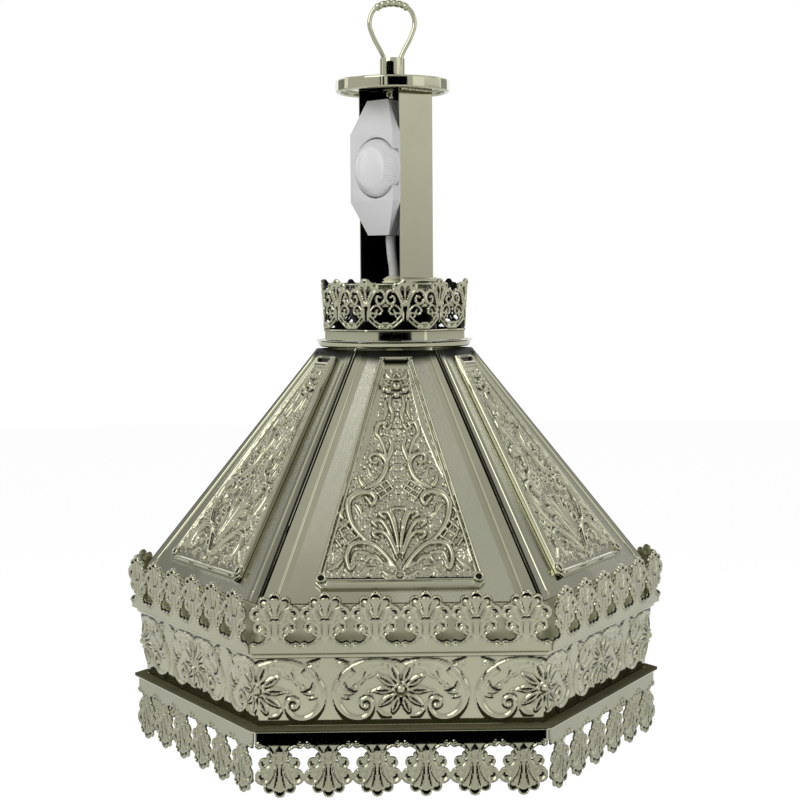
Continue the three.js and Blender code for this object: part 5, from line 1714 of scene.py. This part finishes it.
def frieze_tile():
    """Heights and blackness over a tile from a rosette's middle (x = 0) to the scrolls' mirror line."""
    z = np.concatenate([np.linspace(FRIEZE_LOW, RELIEF_FROM, 3)[:-1],
                        np.arange(RELIEF_FROM, RELIEF_TO, RELIEF_STEP),
                        np.linspace(RELIEF_TO, FRIEZE_HIGH, 8)])
    x, y = np.meshgrid(np.linspace(0, QUARTER, TILE_COLUMNS), z)
    die = Die(x, y)
    for (points, width, height), flat in ((BROAD_LEAF, 4), (SCROLL, 2.6), *((leaf, 2) for leaf in LEAVES)):
        die.ridge(from_rosette(points), width, height, flat=flat)
    die.dome(*from_rosette(BUD[:1]), *BUD[1:])
    for points, width, depth in LEAF_VEINS:
        die.pit(from_rosette(points), width, depth)
    for points, width in LEAF_SHADOWS:
        die.cut(from_rosette(points), width, 0.8)
    ring = np.radians(np.linspace(0, 360, 9))
    ring = BUD_RING_RADIUS * side_by_side(np.cos(ring), np.sin(ring)) + BUD_RING_AT
    die.ridge(from_rosette(ring), 0.5, 0.8)
    rosette(die)
    die.h = np.maximum(die.h, HEAD_BEAD_HALF * half_round((y - HEAD_BEAD_AT) / HEAD_BEAD_HALF))
    return z, die.h, die.black


def all_sides(x, y, z):
    """A side's grid of points on all six sides, one after the other along each row."""
    grid = side_by_side(x, y, z)
    turned_to = [to_side(grid.reshape(-1, 3), side).reshape(grid.shape) for side in SIDE_NUMBERS]
    return np.concatenate(turned_to, 1)


def frieze():
    """The wall at (x, -out, z), moved out by the relief, and a plain wall one sheet further in. Near a
    corner the relief also moves aside by tan 30 of its height, which meets the next side's."""
    z, *tiles = frieze_tile()
    h, black = (mirrored(np.concatenate([tile, tile[:, -2::-1]], 1))[:, :-1] for tile in tiles)
    count = h.shape[1]
    # Darkening in hollows and the black of the cuts and leaf shadows: painted shade.
    dark = FRIEZE_RECESS_SHADE * recesses(np.tile(h, 3), FRIEZE_DEPTH)[:, count:2 * count]
    dark = np.maximum(dark, black)
    z = z[:, None]
    u = np.linspace(-1, 1, count + 1)[:-1]
    flare = (FRIEZE_HIGH_SIDE - FRIEZE_LOW_SIDE) / (FRIEZE_HIGH - FRIEZE_LOW)
    side_at = FRIEZE_LOW_SIDE + flare * (z - FRIEZE_LOW)
    x, out, lean = u * side_at / 2, side_at * ACROSS, math.atan(flare * ACROSS)
    aside = np.sign(u) * math.tan(math.pi / 6) * wave(1 - CORNER_SHARE, 1.0, np.abs(u))
    front = all_sides(x + h * aside, -out - h * math.cos(lean), z - h * math.sin(lean))
    shrink = 1 - SHEET / out[..., None] * np.array((1, 1, 0))
    inner = all_sides(x, -out, z) * shrink
    grid = np.concatenate([front, inner[[-1, 0]]])
    recess = np.concatenate([np.tile(dark, SIDES), np.zeros((2, SIDES * count))])
    new_piece("frieze_pressed", grid, [grid_faces(numbered(grid.shape), True, True)], NICKEL_PLATE, sharp=60,
              values={"recess": recess}, replaces=["frieze"])


frieze()
print("frieze:", triangles["frieze_pressed"], "triangles")

# %% [markdown]
# The crown's palmettes are opened further: the ground between the ridges is sawn away, so the fan,
# the scrolls and the garlands under them stand free. Its outline is therefore the union of the
# strokes themselves, with a few discs and one corner piece where they would be too thin.

# %% A crown palmette
CROWN_HALF = 12.145
CROWN_STROKES = [
    ([(1.3, 13.0), (1.35, 18.0), (1.9, 22.5)], (0.55, 0.55, 0.7), 0.9),
    ([(1.9, 20.0), (2.7, 24.0), (4.2, 27.6), (6.2, 30.4), (9.0, 30.9), (11.3, 29.0), (11.7, 25.6),
      (9.9, 22.9), (7.4, 23.2), (6.3, 25.4), (7.3, 27.3), (8.9, 26.6)], (0.8, 0.95, 1.0, 0.9, 0.8), 1.1),
    ([(1.8, 15.5), (3.3, 19.2), (5.3, 21.3), (7.8, 21.4), (9.6, 19.3), (9.2, 16.8), (7.3, 16.3), (6.3, 17.8),
      (7.3, 19.0)], (0.75, 0.85, 0.75), 1.0),
    ([(2.0, 14.2), (3.3, 16.6), (5.2, 16.9), (6.1, 15.4), (5.1, 14.4)], (0.6, 0.7, 0.65), 0.8),
    ([(12.2, 10.6), (11.0, 10.9), (9.6, 10.3), (7.6, 10.8), (5.0, 12.8), (3.0, 15.6), (1.9, 19.0)],
     0.75, 0.9),
    ([(12.2, 8.0), (10.0, 7.8), (7.6, 8.4), (4.6, 10.4), (1.9, 12.9)], 0.75, 0.8),
    ([(0, 21.5), (0, 28.0), (0, 34.6)], (0.5, 0.65, 1.2), 0.9),
    ([(0.7, 21.5), (2.1, 27.0), (5.0, 33.0)], (0.45, 0.6, 1.2), 0.9),
    ([(1.2, 22.0), (4.0, 27.6), (6.8, 30.6)], (0.45, 0.5, 0.8), 0.8),
    ([(1.5, 22.4), (0.0, 23.0)], 0.8, 1.2),
    ([(0, 35.2), (2.7, 34.6), (5.2, 32.8), (7.6, 30.2)], (1.7, 1.6, 1.5, 1.1), 0.9),
]
CROWN_LOBES = [(0, 35.3, 2.95), (5.2, 33.0, 2.8), (11.2, 22.0, 1.2), (9.5, 9.1, 1.5), (12.1, 27.4, 1.5),
               (2.7, 33.6, 1.5), (1.2, 12.6, 0.8)]
CROWN_CORNER = [(7.6, 6), (13, 6), (13, 10.6), (9.5, 10.2), (7.4, 9.6)]
CROWN_DOMES = [((0, 35.3), 2.6, 0.8), ((5.2, 33.0), 2.4, 0.8), ((9.5, 9.1), 1.3, 1.0)]
# The two pits at the fan's top are painted black, as shade.
CROWN_CUTS = [([(0, 36.0)], 0.9, 0.7), ([(5.3, 33.9)], 0.9, 0.7)]
CROWN_BAND, CROWN_RIM_AT, CROWN_RIM_HALF, CROWN_RIM_RISE = 6.7, 6.3, 0.7, 0.9


def crown_palmette():
    """Rows of heights y, and relief, outline field and black of half a palmette over its band."""
    y_rows = np.concatenate([(0, 0.2, 0.4, 3, 5.2, 5.6, 6.1), np.arange(6.6, 38.9, 0.47)])
    x, y = np.meshgrid(np.linspace(0, CROWN_HALF, 27), y_rows)
    die = Die(x, y)
    fields = [y - CROWN_BAND, disc_field(x, y, CROWN_LOBES), polygon_field(x, y, CROWN_CORNER)]
    for points, width, height in CROWN_STROKES:
        die.ridge(points, np.array(width) * 1.05, height)
        fields.append(stroke_field(x, y, points, width))
    for dome_values in CROWN_DOMES:
        die.dome(*dome_values)
    rim = CROWN_RIM_RISE * half_round((y - CROWN_RIM_AT) / CROWN_RIM_HALF)
    die.h = np.maximum(die.h, rim)
    for cut_values in CROWN_CUTS:
        die.cut(*cut_values)
    return y_rows, die.h, np.minimum.reduce(fields), die.black


crown_rows, *crown_half = crown_palmette()
print("crown palmette:", crown_half[0].size, "points")

# %% [markdown]
# The strip of twelve palmettes is bent round an octagon with soft corners, and its tips flare out. To
# bend a strip, its length becomes way along the octagon's line, its height stays, and its relief
# stands out square to the line. The front's middle lies half way between a palmette's middle and its
# edge, so the strip is moved along by a quarter of a palmette.

# %% Crown gallery
CROWN_PALMETTES = 12
OCTAGON_CORNER, OCTAGON_ROUND, ARC_POINTS = 47.6, 2.5, 8
CROWN_FOOT = 214.2
FLARE_FROM, FLARE_RUN, FLARE = 14, 25, 2.2
STRIP_LENGTH = CROWN_PALMETTES * 2 * CROWN_HALF
STRIP_SHIFT = -7.5 / 360 * STRIP_LENGTH


def octagon_line():
    """The octagon's rounded line, closed, from its back left round by the front, and its direction."""
    corners = [(OCTAGON_CORNER * math.sin(a), -OCTAGON_CORNER * math.cos(a))
               for a in np.radians(22.5 + 45 * np.arange(-4, 4))]
    line = rounded(corners, OCTAGON_ROUND, steps=ARC_POINTS)
    line = np.concatenate([line, line[:1]])
    heading = np.arctan2(np.gradient(line[:, 1]), np.gradient(line[:, 0]))
    heading[0] = heading[-1] = np.arctan2(*(line[1] - line[-2])[::-1])
    return line, np.unwrap(heading)


def round_octagon(points):
    """Bends (length, height, relief) round the octagon, length 0 at its front: half way between the
    fourth corner's last point and the fifth one's first. The tips lean out by flare x share^2."""
    line, heading = octagon_line()
    gone = way_along(line)
    front = gone[4 * ARC_POINTS - 1:4 * ARC_POINTS + 1].mean()
    length, height, relief = (points + (STRIP_SHIFT, 0, 0)).T
    along = (length / STRIP_LENGTH * gone[-1] + front) % gone[-1]
    x, y, turn_at = (np.interp(along, gone, values) for values in (*line.T, heading))
    out = relief + FLARE * np.clip((height - FLARE_FROM) / FLARE_RUN, 0, 2) ** 2
    return np.stack([x + out * np.sin(turn_at), y - out * np.cos(turn_at), CROWN_FOOT + height], -1)


crown = [repeated(mirrored(a), CROWN_PALMETTES) for a in crown_half]
strip_x = np.linspace(-STRIP_LENGTH / 2, STRIP_LENGTH / 2, crown[0].shape[1])
# The crown's back is painted black, as the shade inside it.
pierced_sheet("crown_gallery_cast", *np.meshgrid(strip_x, crown_rows), *crown, round_octagon, loop=True,
              back_painted_shade=0.97, replaces=["crown_gallery"])
print("crown:", triangles["crown_gallery_cast"], "triangles")

# %% [markdown]
# Every imported solid has its surface now. The last cell counts the triangles of the whole.

# %% Finish
print("triangles:", sum(triangles.values()))
